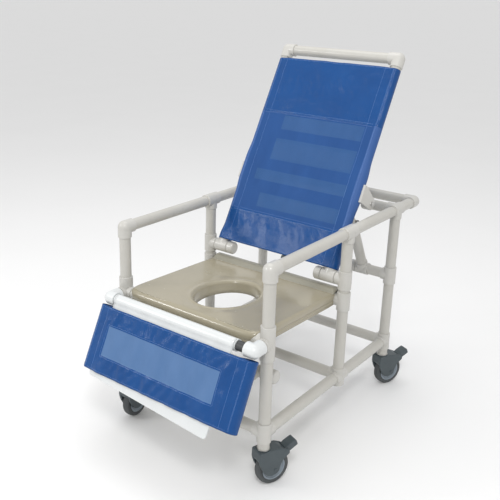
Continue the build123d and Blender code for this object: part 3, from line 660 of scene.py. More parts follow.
@dataclass
class Sling:
    """A sheet stretched between two side tubes, with a sleeve sewn round each of them."""

    name: str
    body: str
    node: str
    panel: Panel
    tube_x: float
    sleeve: Callable[[Array], Array]
    low: float
    high: float
    mesh_zone: tuple[float, float, float, float]
    folds: Folds
    sleeve_mesh: bool
    seams: Sequence[float] = ()
    zone_finish: Finish = Finish.BACKED_MESH
    sleeve_finish: Finish = Finish.SLEEVE_MESH
    windows: Sequence[tuple[float, float, float, float]] = ()
    window_finish: Finish = Finish.MESH
    standoff: float = 0.0022
    puckers: Sequence[float] = ()
    cut_corner: float = 0.0
    wall: float = 0.0013
    step: float = 0.006
    wrap: float = math.radians(268)

    def stations(self, low: float, high: float, marks: Sequence[float]) -> Array:
        """Evenly spaced values with extra ones a little to each side of every mark."""
        even = np.linspace(low, high, max(3, int((high - low) / self.step)))
        near = [mark + side for mark in marks for side in (-MARK_SIDE, MARK_SIDE)]
        near = [value for value in near if low < value < high]
        keep = even[[all(abs(value - extra) > MARK_CLEAR for extra in near) for value in even]]
        return np.unique(np.concatenate([keep, near]))

    def section(self) -> tuple[Array, Array, Array, Array]:
        """The path across the sling, from one sleeve's seam to the other's.

        Returns:
            For each point: its x on the panel, its angle round the tube, its side (-1, 0 or 1),
            and its share of the tail that runs back to the panel behind the tube.
        """
        x_low, x_high = self.mesh_zone[:2]
        edges = [edge for window in self.windows for edge in window[:2]]
        flat = self.stations(-self.tube_x, self.tube_x, [x_low, x_high, *edges, *self.hem_lines()])
        turn = np.linspace(0, self.wrap, TURN_POINTS + 1)[1:]
        tail = np.linspace(0, 1, TAIL_POINTS + 1)[1:]
        ended = np.full(TAIL_POINTS, self.wrap)
        middle = np.zeros(len(flat))
        around = np.ones(TURN_POINTS + TAIL_POINTS)
        angle = np.concatenate([ended, turn[::-1], middle, turn, ended])
        side = np.concatenate([-around, middle, around])
        share = np.concatenate([tail[::-1], np.zeros(2 * TURN_POINTS + len(flat)), tail])
        x = np.concatenate([-self.tube_x * around, flat, self.tube_x * around])
        return x, angle, side, share

    def hem_lines(self) -> list[float]:
        """Where the sleeves are sewn to the panel."""
        inside = self.tube_x - HEM_INSET
        return [-inside, inside]

    def surface(self, x: Array, angle: Array, side: Array, share: Array, along: Array) -> Array:
        """Points of the sheet.

        On the panel a point stands in front of the tubes' axes by the sleeve's radius plus the
        folds. Round a tube it is the radius times the sine and cosine of the angle from the
        front. The tail is a straight line from the end of the turn to the sewing line.
        """
        radius = self.sleeve(along)
        inner = smooth(self.tube_x - np.abs(x), 0.0, SLEEVE_EASE)
        folds = self.folds.lift(x, along) + self.folds.pucker(x, along, self.puckers)
        lift = folds * (0.25 + 0.75 * inner) * (side == 0)
        sink = -MESH_SINK * inner * self.in_mesh(x, along, side)
        raised = sum(((np.abs(along - seam) < WELT_HALF) * WELT_HEIGHT for seam in self.seams), 0.0)
        welt = raised * (side == 0)
        level = self.level(radius, inner)
        out = x + side * radius * np.sin(angle)
        front = np.where(side == 0, level + lift + sink + welt, radius * np.cos(angle))
        sewn_x = x - side * (radius + TAIL_INSET)
        sewn_front = level - TAIL_BEHIND
        out = out * (1 - share) + sewn_x * share
        front = front * (1 - share) + sewn_front * share
        return self.panel.at(out, along, front)

    def level(self, radius: Array, inner: Array) -> Array:
        """How far in front of the axes the flat panel stands: the sleeve's radius, eased flat."""
        halfway = self.sleeve(np.array(0.5 * (self.low + self.high)))
        return radius * (1 - inner) + inner * (halfway + self.standoff)

    def in_mesh(self, x: Array, along: Array, side: Array) -> Array:
        """1 where the cloth is open mesh, and 0 where it is vinyl."""
        x_low, x_high, low, high = self.mesh_zone
        within = (along > low) & (along < high) & (x > x_low) & (x < x_high)
        return (within & ((side == 0) | self.sleeve_mesh)).astype(float)

    def slots(self, x: Array, along: Array, side: Array) -> Array:
        """Each quad's finish: 0 vinyl, 1 mesh, 2 an unbacked window in it, 3 a mesh sleeve."""
        zone = self.in_mesh(x, along, np.round(side)) > 0
        slots = zone * np.where(side > 0.01, 3, 1)
        panel = zone & (side < 0.01)
        for x_low, x_high, low, high in self.windows:
            slots[panel & (x > x_low) & (x < x_high) & (along > low) & (along < high)] = 2
        return slots

    def build(self) -> bpy.types.Object:
        """Builds the sheet and its sewing."""
        x, angle, side, share = self.section()
        marks = [seam + side for seam in self.seams for side in (-WELT_HALF, WELT_HALF)]
        marks += [*self.mesh_zone[2:], *(edge for window in self.windows for edge in window[2:])]
        along = self.stations(self.low, self.high, marks)
        reach = (along[:, None] - self.low) / (self.high - self.low)
        cut = self.cut_corner * smooth(np.abs(side) * angle, 0.2, 1.8) * (side < 0)
        rows = along[:, None] - cut * reach
        grid = self.surface(x, angle, side, share, rows)
        faces = sheet_faces(grid)
        where = [
            np.broadcast_to(values, rows.shape).ravel()[faces].mean(axis=1)
            for values in (x, along[:, None], np.abs(side))
        ]
        slots = self.slots(*where)
        steps = np.linalg.norm(np.diff(grid[len(grid) // 2], axis=0), axis=1)
        travel = np.concatenate([[0], np.cumsum(steps)])
        cloth_map = np.stack(np.broadcast_arrays(travel, rows), axis=-1)
        piece = build_piece(self.name, grid, faces, (), cloth_map, slots)
        for finish in (Finish.VINYL, self.zone_finish, self.window_finish, self.sleeve_finish):
            piece.data.materials.append(made_material(finish))
        thicken(piece, self.wall)
        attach(piece, self.body)
        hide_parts(self.node)
        self.high - self.low
        self.sew()
        LOG.info("%s: %d by %d points", self.name, *grid.shape[:2])
        LOG.info("%s: flat %.3f m by %.3f m", self.name, travel[-1], self.high - self.low)
        return piece

    def panel_line(self, x: Array, along: Array) -> Array:
        """Points a hair above the panel's front face."""
        zero = np.zeros_like(x)
        here = self.surface(x, zero, zero, zero, along)
        return here + self.panel.front * (self.wall / 2 + THREAD_LIFT)

    def sleeve_line(self, side: float, angle: float, along: Array) -> Array:
        """Points a hair above a sleeve's outer face, at one angle round the tube."""
        zero = np.zeros_like(along)
        here = self.surface(zero + side * self.tube_x, zero + angle, zero + side, zero, along)
        out = math.sin(angle) * side * np.array([1.0, 0, 0]) + math.cos(angle) * self.panel.front
        return here + out * (self.wall / 2 + THREAD_LIFT)

    def sew(self) -> None:
        """Sews the seams, the edges of the mesh and the sleeves with rows of stitches."""
        run = np.arange(self.low + SEAM_END, self.high - SEAM_END, STITCH)
        lines = [self.panel_line(np.full_like(run, x), run) for x in self.hem_lines()]
        for side in (-1.0, 1.0):
            lines += [self.sleeve_line(side, math.radians(turn), run) for turn in SLEEVE_ROWS]
        width = np.arange(-self.tube_x + SEAM_END, self.tube_x - SEAM_END, STITCH)
        levels = [self.low + EDGE_ROW, self.high - EDGE_ROW]
        levels += [seam + step for seam in self.seams for step in (-SEAM_ROW, SEAM_ROW)]
        lines += [self.panel_line(width, np.full_like(width, level)) for level in levels]
        if not self.sleeve_mesh:
            x_low, x_high, low, high = self.mesh_zone
            left, right = x_low - SEAM_END, x_high + SEAM_END
            foot, head = low - SEAM_END, high + SEAM_END
            edge = np.arange(left, right, STITCH)
            rise = np.arange(foot, head, STITCH)
            lines += [self.panel_line(edge, np.full_like(edge, level)) for level in (foot, head)]
            lines += [self.panel_line(np.full_like(rise, x), rise) for x in (left, right)]
        piece = stitch_rows(f"{self.name}_stitches", lines, self.panel.front)
        Finish.THREAD.dress(piece)
        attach(piece, self.body)


def stitch_rows(name: str, lines: Sequence[Array], out: Array) -> bpy.types.Object:
    """Makes every stitch along some rows.

    Each stitch is a six-sided bead between two neighbouring points, drawn in at both ends: at
    station t its radius is the thread's times the root of 1.04 - t squared.

    Args:
        name: the piece's name.
        lines: the rows, each as points one stitch apart.
        out: the direction that the stitches stand out in.

    Returns:
        The new object.
    """
    starts = np.concatenate([line[:-1] for line in lines])
    ends = np.concatenate([line[1:] for line in lines])
    run = ends - starts
    length = np.linalg.norm(run, axis=1, keepdims=True)
    run = run / length
    side = np.cross(run, out)
    side /= np.linalg.norm(side, axis=1, keepdims=True)
    lift = np.cross(side, run)
    station = np.array([-1.0, -0.6, 0.6, 1.0])
    radius = THREAD_R * np.sqrt(1.04 - station**2)
    turn = np.arange(BEAD_SIDES) * math.tau / BEAD_SIDES
    travel = (0.5 + 0.36 * station)[None, :, None, None] * length[:, :, None, None]
    beads = starts[:, None, None, :] + travel * run[:, None, None, :]
    beads = beads + (radius[:, None] * np.cos(turn))[None, :, :, None] * side[:, None, None, :]
    beads = beads + (radius[:, None] * np.sin(turn))[None, :, :, None] * lift[:, None, None, :]
    count, rows, columns = beads.shape[:3]
    base = grid_faces(rows, columns, False, True)
    starting = np.arange(count) * rows * columns
    faces = (base[None] + starting[:, None, None]).reshape(-1, 4)
    ring = np.arange(columns)
    first = starting[:, None] + ring
    caps = np.concatenate([first[:, ::-1], first + (rows - 1) * columns])
    if signed_volume((beads[0] - beads[0].mean(axis=(0, 1))).reshape(-1, 3), base) < 0:
        faces, caps = faces[:, ::-1], caps[:, ::-1]
    flat = np.zeros((count * rows * columns, 2))
    return build_piece(name, beads, faces, caps, flat)


@dataclass
class Strap:
    """A flat strap between two points of a panel, with a slight belly."""

    name: str
    body: str
    panel: Panel
    x_low: float
    x_high: float
    low: float
    high: float
    front: float
    belly: float
    finish: Finish
    slot: str
    wall: float = 0.0016
    ripple: float = 0.0005

    def build(self) -> bpy.types.Object:
        """Builds the strap as a sheet that bows by the belly times a half sine across it."""
        x = np.linspace(self.x_low, self.x_high, 61)[None, :]
        along = np.linspace(self.low, self.high, 13)[:, None]
        bow = np.sin(math.pi * (x - self.x_low) / (self.x_high - self.x_low))
        ripple = self.ripple * np.sin(90 * x + 40 * along)
        grid = self.panel.at(x, along, self.front + self.belly * bow + ripple)
        faces = sheet_faces(grid)
        cloth_map = np.stack(np.broadcast_arrays(x, along), axis=-1)
        piece = build_piece(self.name, grid, faces, (), cloth_map)
        self.finish.dress(piece)
        thicken(piece, self.wall)
        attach(piece, self.body)
        self.x_high - self.x_low
        self.high - self.low
        return piece


# ------------------------------------------------------------------ backrest
@dataclass
class Backrest:
    """The reclining back: its sling, the ladder of straps behind it, and the belt's buckle."""

    tube_x: float = BACK_X
    tube_gap: float = 0.0014
    fitting_gap: float = 0.0018
    cross_at: float = 0.350
    strap_behind: float = 0.0022
    short_strap: float = 0.229
    strip_inner: float = 0.190
    strap_spans: Sequence[tuple[float, float]] = (
        (0.487, 0.531),
        (0.374, 0.416),
        (0.250, 0.291),
        (0.143, 0.187),
    )
    strip_spans: Sequence[tuple[float, float]] = ((0.393, 0.600), (0.165, 0.294))

    def __post_init__(self) -> None:
        """Finds the back's plane from the frame."""
        self.panel = Panel.through("back_recline", "head_rail")

    def sleeve(self, along: Array) -> Array:
        """Sleeve radius: close round the tube, wider over the foot's and cross tube's fittings."""
        close, wide = PIPE_R + self.tube_gap, FITTING_R + self.fitting_gap
        over_tee = 1 - smooth(np.abs(along - self.cross_at), 0.043, 0.12)
        over_foot = 1 - smooth(along, 0.044, 0.10)
        return close + (wide - close) * np.maximum(over_tee, over_foot)

    def build(self) -> None:
        """Builds every piece of the backrest."""
        Sling(
            name="back_sling_cover",
            body="backrest",
            node="back_sling",
            panel=self.panel,
            tube_x=self.tube_x,
            sleeve=self.sleeve,
            low=0.026,
            high=0.841,
            mesh_zone=(-1.0, 1.0, 0.165, 0.600),
            folds=Folds(seed=11, height=0.0016, across=0.15, along=0.24, count=9),
            sleeve_mesh=True,
            seams=(0.165, 0.600),
            puckers=(0.700, 0.725, 0.755, 0.12),
            windows=(
                (-0.150, 0.222, 0.527, 0.590), (-0.156, 0.224, 0.395, 0.489),
                (-0.200, 0.232, 0.301, 0.350), (-0.146, 0.229, 0.190, 0.251),
            ),
        ).build()
        self.build_straps()
        self.build_buckle()

    def build_straps(self) -> None:
        """Builds the straps across the back and the strips up its sides."""
        inner = self.tube_x - PIPE_R - 0.003
        behind = -PIPE_R - self.strap_behind
        for number, (low, high) in enumerate(self.strap_spans, 1):
            wide = inner if number != 2 else self.short_strap
            strap = Strap(
                f"back_strap_{number}", "backrest", self.panel, -wide, wide, low, high, behind,
                -0.004, Finish.VINYL, "mesh_fabric",
            ).build()
            if number == 1:
                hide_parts("back_straps")
        for side, label in ((-1, "right"), (1, "left")):
            for number, (low, high) in enumerate(self.strip_spans, 1):
                ends = sorted((side * self.strip_inner, side * inner))
                Strap(
                    f"back_strip_{label}_{number}", "backrest", self.panel, *ends, low, high,
                    behind - self.strap_behind, -0.0004, Finish.VINYL, "mesh_fabric",
                ).build()

    def build_buckle(self) -> None:
        """Builds the belt's buckle and its tape.

        The buckle is a rounded block. Its section is a superellipse that grows and shrinks by a
        share at each station along it, which makes its two grooves and its rounded ends.
        """
        low, high = (np.array(corner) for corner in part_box("strap_buckle"))
        x = (low[0] + high[0]) / 2
        turn = np.linspace(0, math.tau, 48, endpoint=False)
        power = 0.4
        wide = 0.045 * np.sign(np.cos(turn)) * np.abs(np.cos(turn)) ** power
        deep = 0.0038 * np.sign(np.sin(turn)) * np.abs(np.sin(turn)) ** power
        stations = np.array([
            (0.0, 0.0), (0.0, 0.86), (0.0015, 0.97), (0.004, 1.0), (0.012, 1.0), (0.0125, 0.93),
            (0.018, 0.93), (0.0185, 1.0), (0.026, 1.0), (0.0285, 0.97), (0.030, 0.86), (0.030, 0.0),
        ])
        travel, grow = stations[:, :1], stations[:, 1:]
        grid = self.panel.at(x + wide * grow, 0.011 + travel, 0.0195 + deep * grow)
        piece = closed_surface("belt_buckle", grid, wrap_rows=False, cap_rows=False)
        Finish.CHARCOAL.dress(piece)
        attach(piece, "backrest")
        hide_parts("strap_buckle")
        Strap(
            "belt_tape", "backrest", self.panel, x - 0.024, x + 0.024, 0.016, 0.070, 0.0222, 0.0006,
            Finish.BLACK_TAPE, "strap_webbing",
        ).build()


# ------------------------------------------------------------------ calf rest
@dataclass
class CalfRest:
    """The swinging calf rest's sling and the white strip under its pivot sleeve."""

    tube_x: float = POST_X
    apron_r: float = 0.0238
    radius: float = 0.0246

    def build(self) -> None:
        """Builds the calf rest's sling."""
        panel = Panel.through("calf_rest_swing", "leg_tube_caps")
        Sling(
            name="calf_sling_cover",
            body="calf_rest",
            node="leg_sling",
            panel=panel,
            tube_x=self.tube_x,
            sleeve=lambda along: np.full(np.shape(along), self.radius),
            low=0.030,
            high=0.267,
            mesh_zone=(-0.268, 0.246, 0.094, 0.205),
            folds=Folds(seed=5, height=0.0026, across=0.09, along=0.10, count=9),
            sleeve_mesh=False,
            # mesh whose colour carries painted light from the pipes and floor behind it
            zone_finish=Finish.PALE_MESH,
            standoff=0.0062,
            puckers=(0.058, 0.076, 0.226, 0.246),
            cut_corner=0.024,
        ).build()
        self.build_apron(panel)

    def build_apron(self, panel: Panel) -> None:
        """Builds the white strip under the pivot sleeve.

        Its profile follows the sleeve's round from the front, then runs straight down behind
        the top of the sling. It is the same all along the chair's width.
        """
        turn = np.linspace(math.radians(-60), math.radians(35), 15)
        round_part = self.apron_r * np.stack([np.sin(turn), np.cos(turn)], axis=-1)
        tail = np.linspace(0, 1, 5)[1:, None] * np.array([0.032, 0.0012]) + round_part[-1]
        profile = np.concatenate([round_part, tail])
        x = np.linspace(-0.288, 0.258, 40)
        grid = panel.at(x[None, :], profile[:, :1], profile[:, 1:])
        faces = sheet_faces(grid)
        piece = build_piece("hinge_apron", grid, faces)
        thicken(piece, 0.0016)
        Finish.BRIGHT.dress(piece)
        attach(piece, "calf_rest")


# ------------------------------------------------------------------ seat
@dataclass
class Seat:
    """The moulded seat: a thick skin with a rolled front, stepped sides and an oval opening."""

    hole_width: float = 0.218
    hole_length: float = 0.284
    hole_back: float = 0.200
    hole_depth: float = 0.050
    pitch: float = math.atan2(18, 495)
    squareness: float = 13.0
    rim_in: float = 0.017
    rim_drop: float = 0.014
    edge_round: float = 0.010
    front_round: float = 0.012
    above_pivot: float = 0.006

    def __post_init__(self) -> None:
        """Reads the seat's box and the front posts' line from the frame."""
        self.low, self.high = (np.array(corner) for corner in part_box("seat"))
        posts_low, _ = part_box("posts")
        self.front_y = posts_low[1] + PIPE_R
        self.top_front = PIVOT_HEIGHT + PIPE_R + self.above_pivot

    def top(self, y: Array) -> Array:
        """Height of the flat top at a place along the chair."""
        return self.top_front - (y - self.front_y) * math.tan(self.pitch)

    def outline(self, turn: Array) -> tuple[Array, Array]:
        """The outer edge: a superellipse of the seat's half width and half length."""
        half = (self.high - self.low)[:2] / 2
        power = self.squareness
        sides = np.abs(np.cos(turn) / half[0]) ** power + np.abs(np.sin(turn) / half[1]) ** power
        radius = sides ** (-1 / power)
        middle = (self.high + self.low) / 2
        return middle[0] + radius * np.cos(turn), middle[1] + radius * np.sin(turn)

    def angles(self, count: int) -> Array:
        """Angles that space the outline's points evenly along it."""
        turn = np.linspace(0, math.tau, 4001)
        x, y = self.outline(turn)
        travel = np.concatenate([[0], np.cumsum(np.hypot(np.diff(x), np.diff(y)))])
        return np.interp(np.linspace(0, travel[-1], count, endpoint=False), travel, turn)

    def build(self) -> None:
        """Builds the skin and the raised band across its back."""
        self.build_skin()
        self.build_lip()

    def build_skin(self) -> None:
        """Builds the skin.

        Rows run from the foot of the opening's wall, over its rounded rim, out across the top
        by straight blending of the oval and the outline, over the rounded edge, and down the
        stepped side to its turned-in hem. Each row is an offset inwards and a drop.
        """
        turn = self.angles(320)
        outer = np.stack(self.outline(turn), axis=-1)
        middle_y = self.front_y + self.hole_back
        oval = np.stack([self.hole_width * np.cos(turn), self.hole_length * np.sin(turn)], axis=-1)
        inner = oval / 2 + (0.0, middle_y)
        span = outer - inner
        reach = np.linalg.norm(span, axis=1, keepdims=True)
        toward = span / reach
        front = smooth(-np.sin(turn), 0.55, 0.8)
        rim = np.linspace(0, math.pi / 2, 8)
        rows: list[tuple[Array, Array]] = []
        for drop, away in ((self.hole_depth, -0.004), (0.034, -0.0015), (0.022, 0.0)):
            rows.append((inner + toward * away, np.full(len(turn), drop)))
        for angle in rim:
            away, drop = self.rim_in * (1 - math.cos(angle)), self.rim_drop * (1 - math.sin(angle))
            rows.append((inner + toward * away, np.full(len(turn), drop)))
        edge = self.edge_round + self.front_round * front
        for share in np.linspace(0.04, 1, 34):
            away = self.rim_in + (reach[:, 0] - edge - self.rim_in) * share
            dish = 0.0022 * (1 - smooth(away, 0.018, 0.06))
            rows.append((inner + toward * away[:, None], dish))
        normal = self.edge_normal(outer)
        for angle in rim[1:]:
            inset = (edge * (1 - math.sin(angle)))[:, None]
            rows.append((outer - normal * inset, edge * (1 - math.cos(angle))))
        step = ((0.0, 0.019), (0.0, 0.024), (0.0016, 0.0255), (0.0016, 0.0295), (0.0, 0.031))
        hem = ((0.0, 0.0365), (0.0016, 0.038), (0.0016, 0.042))
        hem += ((0.0006, 0.045), (0.007, 0.046), (0.0075, 0.038))
        for back, drop in step:
            rows.append((outer - normal * back, np.full(len(turn), drop) + 0.006 * front))
        for back, drop in hem:
            rows.append((outer - normal * back, np.full(len(turn), drop)))
        flat = np.stack([row for row, _ in rows])
        drop = np.stack([fall for _, fall in rows])
        grid = np.concatenate([flat, (self.top(flat[..., 1]) - drop)[..., None]], axis=-1)
        faces = grid_faces(*grid.shape[:2], False, True)
        on_top = grid.reshape(-1, 3)[faces[len(faces) // 2]]
        if np.cross(on_top[1] - on_top[0], on_top[3] - on_top[0])[2] < 0:
            faces = faces[:, ::-1]
        piece = build_piece("commode_seat", grid, faces)
        thicken(piece, 0.004, -1.0)
        Finish.SEAT.dress(piece)
        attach(piece, "frame")
        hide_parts("seat")
        LOG.info("commode_seat: %d rows of %d points", *grid.shape[:2])

    def edge_normal(self, outline: Array) -> Array:
        """Outward unit vectors across a closed outline, from its neighbours' chord."""
        chord = np.roll(outline, -1, axis=0) - np.roll(outline, 1, axis=0)
        out = np.stack([chord[:, 1], -chord[:, 0]], axis=-1)
        return out / np.linalg.norm(out, axis=1, keepdims=True)

    def build_lip(self) -> None:
        """Builds the band across the back: one profile of a ramp, a crown and a fall, along x."""
        back = self.high[1]
        start = back - 0.049
        path = np.array(
            [(start, 0.0005), (start + 0.006, 0.0012), (start + 0.013, 0.007)]
            + [(start + 0.018, 0.0125), (start + 0.022, 0.0147), (start + 0.03, 0.0155)]
            + [(back - 0.008, 0.0152), (back - 0.0025, 0.0132), (back + 0.0006, 0.009)]
            + [(back + 0.0012, 0.0), (back + 0.0012, -0.040), (back - 0.001, -0.043)]
        )
        half = (self.high[0] - self.low[0]) / 2 - 0.004
        x = np.linspace(-half, half, 60)
        ease = np.minimum(1, (half - np.abs(x)) / 0.008)
        round_end = np.sqrt(1 - (1 - ease) ** 2)
        height = np.maximum(path[:, 1:], 0) * (0.25 + 0.75 * round_end)
        level = self.top(np.array(start)) + height + np.minimum(path[:, 1], 0)[:, None]
        y = np.broadcast_to(path[:, :1], level.shape)
        grid = np.stack([np.broadcast_to(x, level.shape), y, level], axis=-1)
        faces = sheet_faces(grid)[:, ::-1]
        piece = build_piece("seat_back_band", grid, faces)
        thicken(piece, 0.003, -1.0)
        Finish.LIP.dress(piece)
        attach(piece, "frame")


# ------------------------------------------------------------------ casters
class Corner(Enum):
    """The chair's corners, by the sitter's own left and right."""

    FRONT_LEFT = "front_left"
    FRONT_RIGHT = "front_right"
    REAR_LEFT = "rear_left"
    REAR_RIGHT = "rear_right"


@dataclass
class Caster:
    """One caster: its tyre, hub, hood, axle heads and brake pedal."""

    corner: Corner
    tyre_r: float = 0.0635
    width: float = 0.032
    hub_r: float = 0.046
    bore_r: float = 0.0062
    tread: float = 0.009
    groove: float = 0.0007
    edge: float = 0.0028

    def __post_init__(self) -> None:
        """Reads the axle's place and direction from the frame."""
        self.axle, axis = joint(f"roll_{self.place}")
        self.across = unit(axis)
        self.ahead = unit(np.cross(self.across, [0, 0, 1.0]))
        swivel, _ = joint(f"swivel_{self.place}")
        self.forward = float(np.sign(np.dot(self.axle - swivel, self.ahead)))

    @property
    def place(self) -> str:
        """The corner's name in the frame."""
        return self.corner.value

    def turned(self, name: str, profile: Array, count: int) -> bpy.types.Object:
        """Turns a closed profile of (radius, place along the axle) about the axle."""
        turn = np.linspace(0, math.tau, count, endpoint=False)[:, None, None]
        radial = np.cos(turn) * self.ahead + np.sin(turn) * np.array([0, 0, 1.0])
        grid = self.axle + radial * profile[None, :, :1] + profile[None, :, 1:] * self.across
        return closed_surface(name, grid)

    def build(self) -> None:
        """Builds the wheel, the hood and the pedal."""
        self.build_tyre()
        self.build_hub()
        self.build_hood()
        self.build_pedal()

    def slab(
        self, name: str, outline: Sequence[tuple[float, float]], low: float, high: float
    ) -> bpy.types.Object:
        """Makes a slab of the hood or the pedal from an outline and its reach along the axle.

        Args:
            name: the piece's name.
            outline: places along the heading from the swivel's axis, and heights, in millimetres.
            low: the near face's place along the axle, in millimetres from the middle.
            high: the far face's.

        Returns:
            The new object, with its edges rounded.
        """
        plan = np.array(outline) * MM
        swivel = self.axle - self.ahead * TRAIL * MM * self.forward
        up = np.array([0, 0, 1.0])
        flat = swivel * (1, 1, 0) + plan[:, :1] * self.forward * self.ahead + plan[:, 1:] * up
        grid = np.stack([flat + self.across * low * MM, flat + self.across * high * MM])
        piece = closed_surface(name, grid, wrap_rows=False, cap_rows=True)
        piece.data.polygons.foreach_set("use_smooth", np.zeros(len(piece.data.polygons), dtype=bool))
        crease(piece, self.edge, 3)
        Finish.CHARCOAL.dress(piece)
        return piece

    def arc(self, radius: float, angles: Array) -> list[tuple[float, float]]:
        """Points round the axle, in millimetres, at some angles."""
        return [(TRAIL + radius * math.cos(t), AXLE_HEIGHT + radius * math.sin(t)) for t in angles]

    def build_hood(self) -> None:
        """Builds the hood and the axle's heads.

        A crown follows the tyre's round, a cheek hangs down each side, and each of the axle's
        heads is a hexagon.
        """
        crown = [(-29, 143), (-24, 145.6), (26, 145.6), (58, 142), (76, 133)]
        crown += [*self.arc(HOOD_ROUND, np.radians(np.linspace(56, 148, 12))), (-30, 112)]
        cheek = [(-30, 112), (-29, 143), (-24, 145.6), (26, 145.6), (60, 142), (86, 130), (94, 122)]
        cheek += [(92, 112), (80, 104), (66, 94), (58, 80), (54, 66), (51, 55), (44, 48), (34, 45)]
        cheek += [(20, 42), (4, 48), (-10, 62), (-21, 82), (-27, 98)]
        pieces = [self.slab(f"hood_crown_{self.place}", crown, -CROWN_HALF, CROWN_HALF)]
        for label, low, high in (("near", -HOOD_HALF, -CHEEK_INNER), ("far", CHEEK_INNER, HOOD_HALF)):
            pieces.append(self.slab(f"hood_cheek_{label}_{self.place}", cheek, low, high))
        hexagon = self.arc(HEAD_R, np.linspace(0, math.tau, 6, endpoint=False))
        inner, outer = HEAD_SPAN
        for label, low, high in (("near", -outer, -inner), ("far", inner, outer)):
            head = self.slab(f"axle_head_{label}_{self.place}", hexagon, low, high)
            pieces.append(head)
        for piece in pieces:
            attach(piece, f"caster_{self.place}")
        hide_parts(f"caster_hood_{self.place}")

    def build_pedal(self) -> None:
        """Builds the brake pedal: a thick wedge that stands up behind its pin."""
        lean = math.radians(24)
        plan = [(-8, -5), (-9, 6), (-2, 13), (14, 16), (43, 15), (46, 12)]
        plan += [(46, -6), (42, -9), (12, -10), (4, -8)]
        along, rise = PEDAL_PIN
        cosine, sine = math.cos(lean), math.sin(lean)
        turned = [(along + x * cosine - y * sine, rise + x * sine + y * cosine) for x, y in plan]
        piece = self.slab(f"pedal_{self.place}", turned, -PEDAL_HALF, PEDAL_HALF)
        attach(piece, f"pedal_{self.place}")
        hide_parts(f"caster_pedal_{self.place}")

    def build_tyre(self) -> None:
        """Builds the tyre: a rounded tread with two shallow grooves on a flat seat."""
        half = self.width / 2
        sweep = np.linspace(-math.pi / 2, math.pi / 2, 25)
        crown = self.tyre_r - self.tread + self.tread * np.abs(np.cos(sweep)) ** 0.6
        across = half * np.sin(sweep)
        crown = crown - self.groove * (np.abs(np.abs(across) - 0.006) < 0.0012)
        seat = np.array([(self.hub_r, half), (self.hub_r, 0), (self.hub_r, -half)])
        profile = np.concatenate([np.stack([crown, across], axis=-1), seat])
        piece = self.turned(f"tyre_{self.place}", profile, 96)
        Finish.TYRE.dress(piece)
        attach(piece, f"wheel_{self.place}")
        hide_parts(f"caster_tyre_{self.place}")

    def build_hub(self) -> None:
        """Builds the hub: a rim, a dished web and a bearing boss on each side."""
        half = self.width / 2
        rim = self.hub_r
        side = [(rim, half - 0.0005), (rim - 0.002, half + 0.0006), (rim - 0.006, half + 0.0004)]
        side += [(rim - 0.0075, half - 0.003), (rim - 0.016, half - 0.0065), (0.020, half - 0.0065)]
        side += [(0.0175, half - 0.003), (0.0165, half + 0.0002), (0.011, half + 0.0006)]
        side += [(0.0095, half - 0.001), (self.bore_r, half - 0.001)]
        other = [(radius, -place) for radius, place in reversed(side)]
        piece = self.turned(f"hub_{self.place}", np.array(side + other), 72)
        crease(piece, 0.0006)
        Finish.HUB.dress(piece)
        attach(piece, f"wheel_{self.place}")
        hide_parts(f"caster_wheel_{self.place}")


# ------------------------------------------------------------------ frame finishes
@dataclass
class Framework:
    """The frame's own nodes, each given its finish."""

    finishes: dict[Finish, Sequence[str]] = field(
        default_factory=lambda: {
            Finish.PIPE: (
                "posts", "arm_rails", "lower_rails", "push_rail", "seat_rails", "short_pipes",
                "back_side_tubes", "head_rail", "back_cross_tube", "strut_tubes", "strut_rods",
                "leg_side_tubes", "leg_cross_rails", "leg_arms", "counter_bar",
            ),
            Finish.FITTING: (
                "arm_elbows", "arm_tees", "lower_tees", "post_tees", "stub_caps", "head_elbows",
                "back_pivot_tees", "back_cross_tees", "strut_tees", "strut_collars",
                "strut_knuckles", "leg_tube_caps", "counter_bar_caps", "belt_ears", "leg_hinge_tees",
            ),
            Finish.BRIGHT: ("leg_hinge_elbows", "leg_pivot_sleeve", "leg_saddles", "leg_board"),
            # the exposed pivot tube: its own dark grey plus painted shade
            Finish.TUBE: ("leg_pivot_tube",),
            Finish.STEEL: ("ear_bolts", "board_screws", "caster_stems"),
            Finish.CHARCOAL: ("strut_knobs",),
        }
    )

    def dress(self) -> None:
        """Puts every finish on its nodes."""
        for finish, names in self.finishes.items():
            for name in names:
                finish.dress(frame["nodes"][name])
            LOG.info("%s: %d nodes", finish.name, len(names))


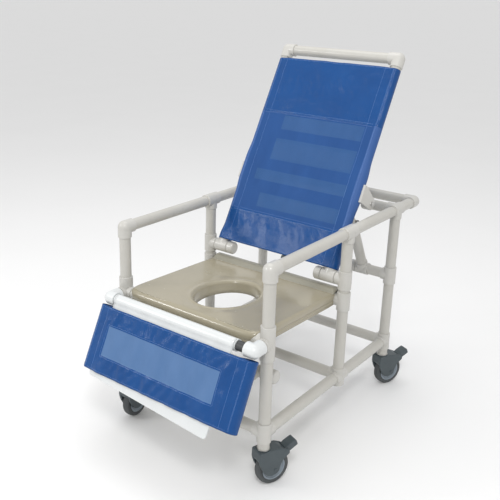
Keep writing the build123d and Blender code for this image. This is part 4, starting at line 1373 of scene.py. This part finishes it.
# ------------------------------------------------------------------ studio
@dataclass
class Studio:
    """The floor, the lights and the camera."""

    azimuth: float = math.radians(36.78)
    elevation: float = math.radians(18.74)
    roll: float = math.radians(1.53)
    lens: float = 52.44
    sensor: float = 36.0
    floor_reach: float = 400.0
    surround: float = 0.82
    from_front_posts: tuple[float, float, float] = (1.5286, -1.7626, 1.6465)
    shift: tuple[float, float] = (0.0153, -0.0336)

    def build(self, front_y: float) -> None:
        """Builds the studio."""
        self.build_floor()
        self.build_lights()
        self.build_camera(front_y)

    def build_floor(self) -> None:
        """Lays a pale floor."""
        edge = np.array([-self.floor_reach, self.floor_reach])
        x, y = np.meshgrid(edge, edge)
        corners = np.stack([x, y, np.zeros_like(x)], axis=-1)
        floor = build_piece("studio_floor", corners, np.array([[0, 1, 3, 2]]))
        paint = Paint("floor_paper")
        tone = paint.noise(paint.place(), 1.5, 2.0)
        colour = paint.mix(tone, (0.86, 0.86, 0.86), (0.84, 0.84, 0.84))
        floor.data.materials.append(paint.finish(Base_Color=colour, Roughness=0.85))

    def build_lights(self) -> None:
        """Sets a pale surround and three soft panels."""
        world = bpy.data.worlds.new("surround")
        world.use_nodes = True
        background = world.node_tree.nodes["Background"]
        background.inputs["Color"].default_value = (1.0, 1.0, 1.0, 1.0)
        background.inputs["Strength"].default_value = self.surround
        bpy.context.scene.world = world
        for name, place, size, power in (
            ("key", (1.9, -2.6, 3.6), 0.9, 62.0),
            ("fill", (-2.5, -2.9, 2.5), 0.8, 30.0),
            ("top", (-0.4, 0.4, 4.0), 2.4, 34.0),
        ):
            light = bpy.data.lights.new(name, "AREA")
            light.size = size
            light.energy = power
            lamp = bpy.data.objects.new(name, light)
            lamp.location = place
            aim = Vector((0.0, 0.0, 0.7)) - Vector(place)
            lamp.rotation_euler = aim.to_track_quat("-Z", "Y").to_euler()
            bpy.context.scene.collection.objects.link(lamp)

    def build_camera(self, front_y: float) -> None:
        """Places the camera by its azimuth, elevation and roll."""
        az, el, ro = self.azimuth, self.elevation, self.roll
        forward = Vector((-math.sin(az) * math.cos(el), math.cos(az) * math.cos(el), -math.sin(el)))
        level = Vector((math.cos(az), math.sin(az), 0.0))
        above = level.cross(forward)
        right = math.cos(ro) * level + math.sin(ro) * above
        up = -math.sin(ro) * level + math.cos(ro) * above
        camera = bpy.data.cameras.new("camera")
        camera.lens = self.lens
        camera.sensor_width = self.sensor
        camera.shift_x, camera.shift_y = self.shift
        holder = bpy.data.objects.new("camera", camera)
        turn = Matrix((right, up, -forward)).transposed()
        place = Vector(self.from_front_posts) + Vector((0, front_y, 0))
        holder.matrix_world = Matrix.Translation(place) @ turn.to_4x4()
        bpy.context.scene.collection.objects.link(holder)
        bpy.context.scene.camera = holder
        bpy.context.scene.view_settings.view_transform = "Standard"


def main() -> None:
    """Builds the whole chair and its studio."""
    logging.basicConfig(level=logging.INFO, format="%(message)s")
    seat = Seat()
    Framework().dress()
    seat.build()
    Backrest().build()
    CalfRest().build()
    for corner in Corner:
        Caster(corner).build()
    Studio().build(seat.front_y)


if __name__ == "__main__":
    main()
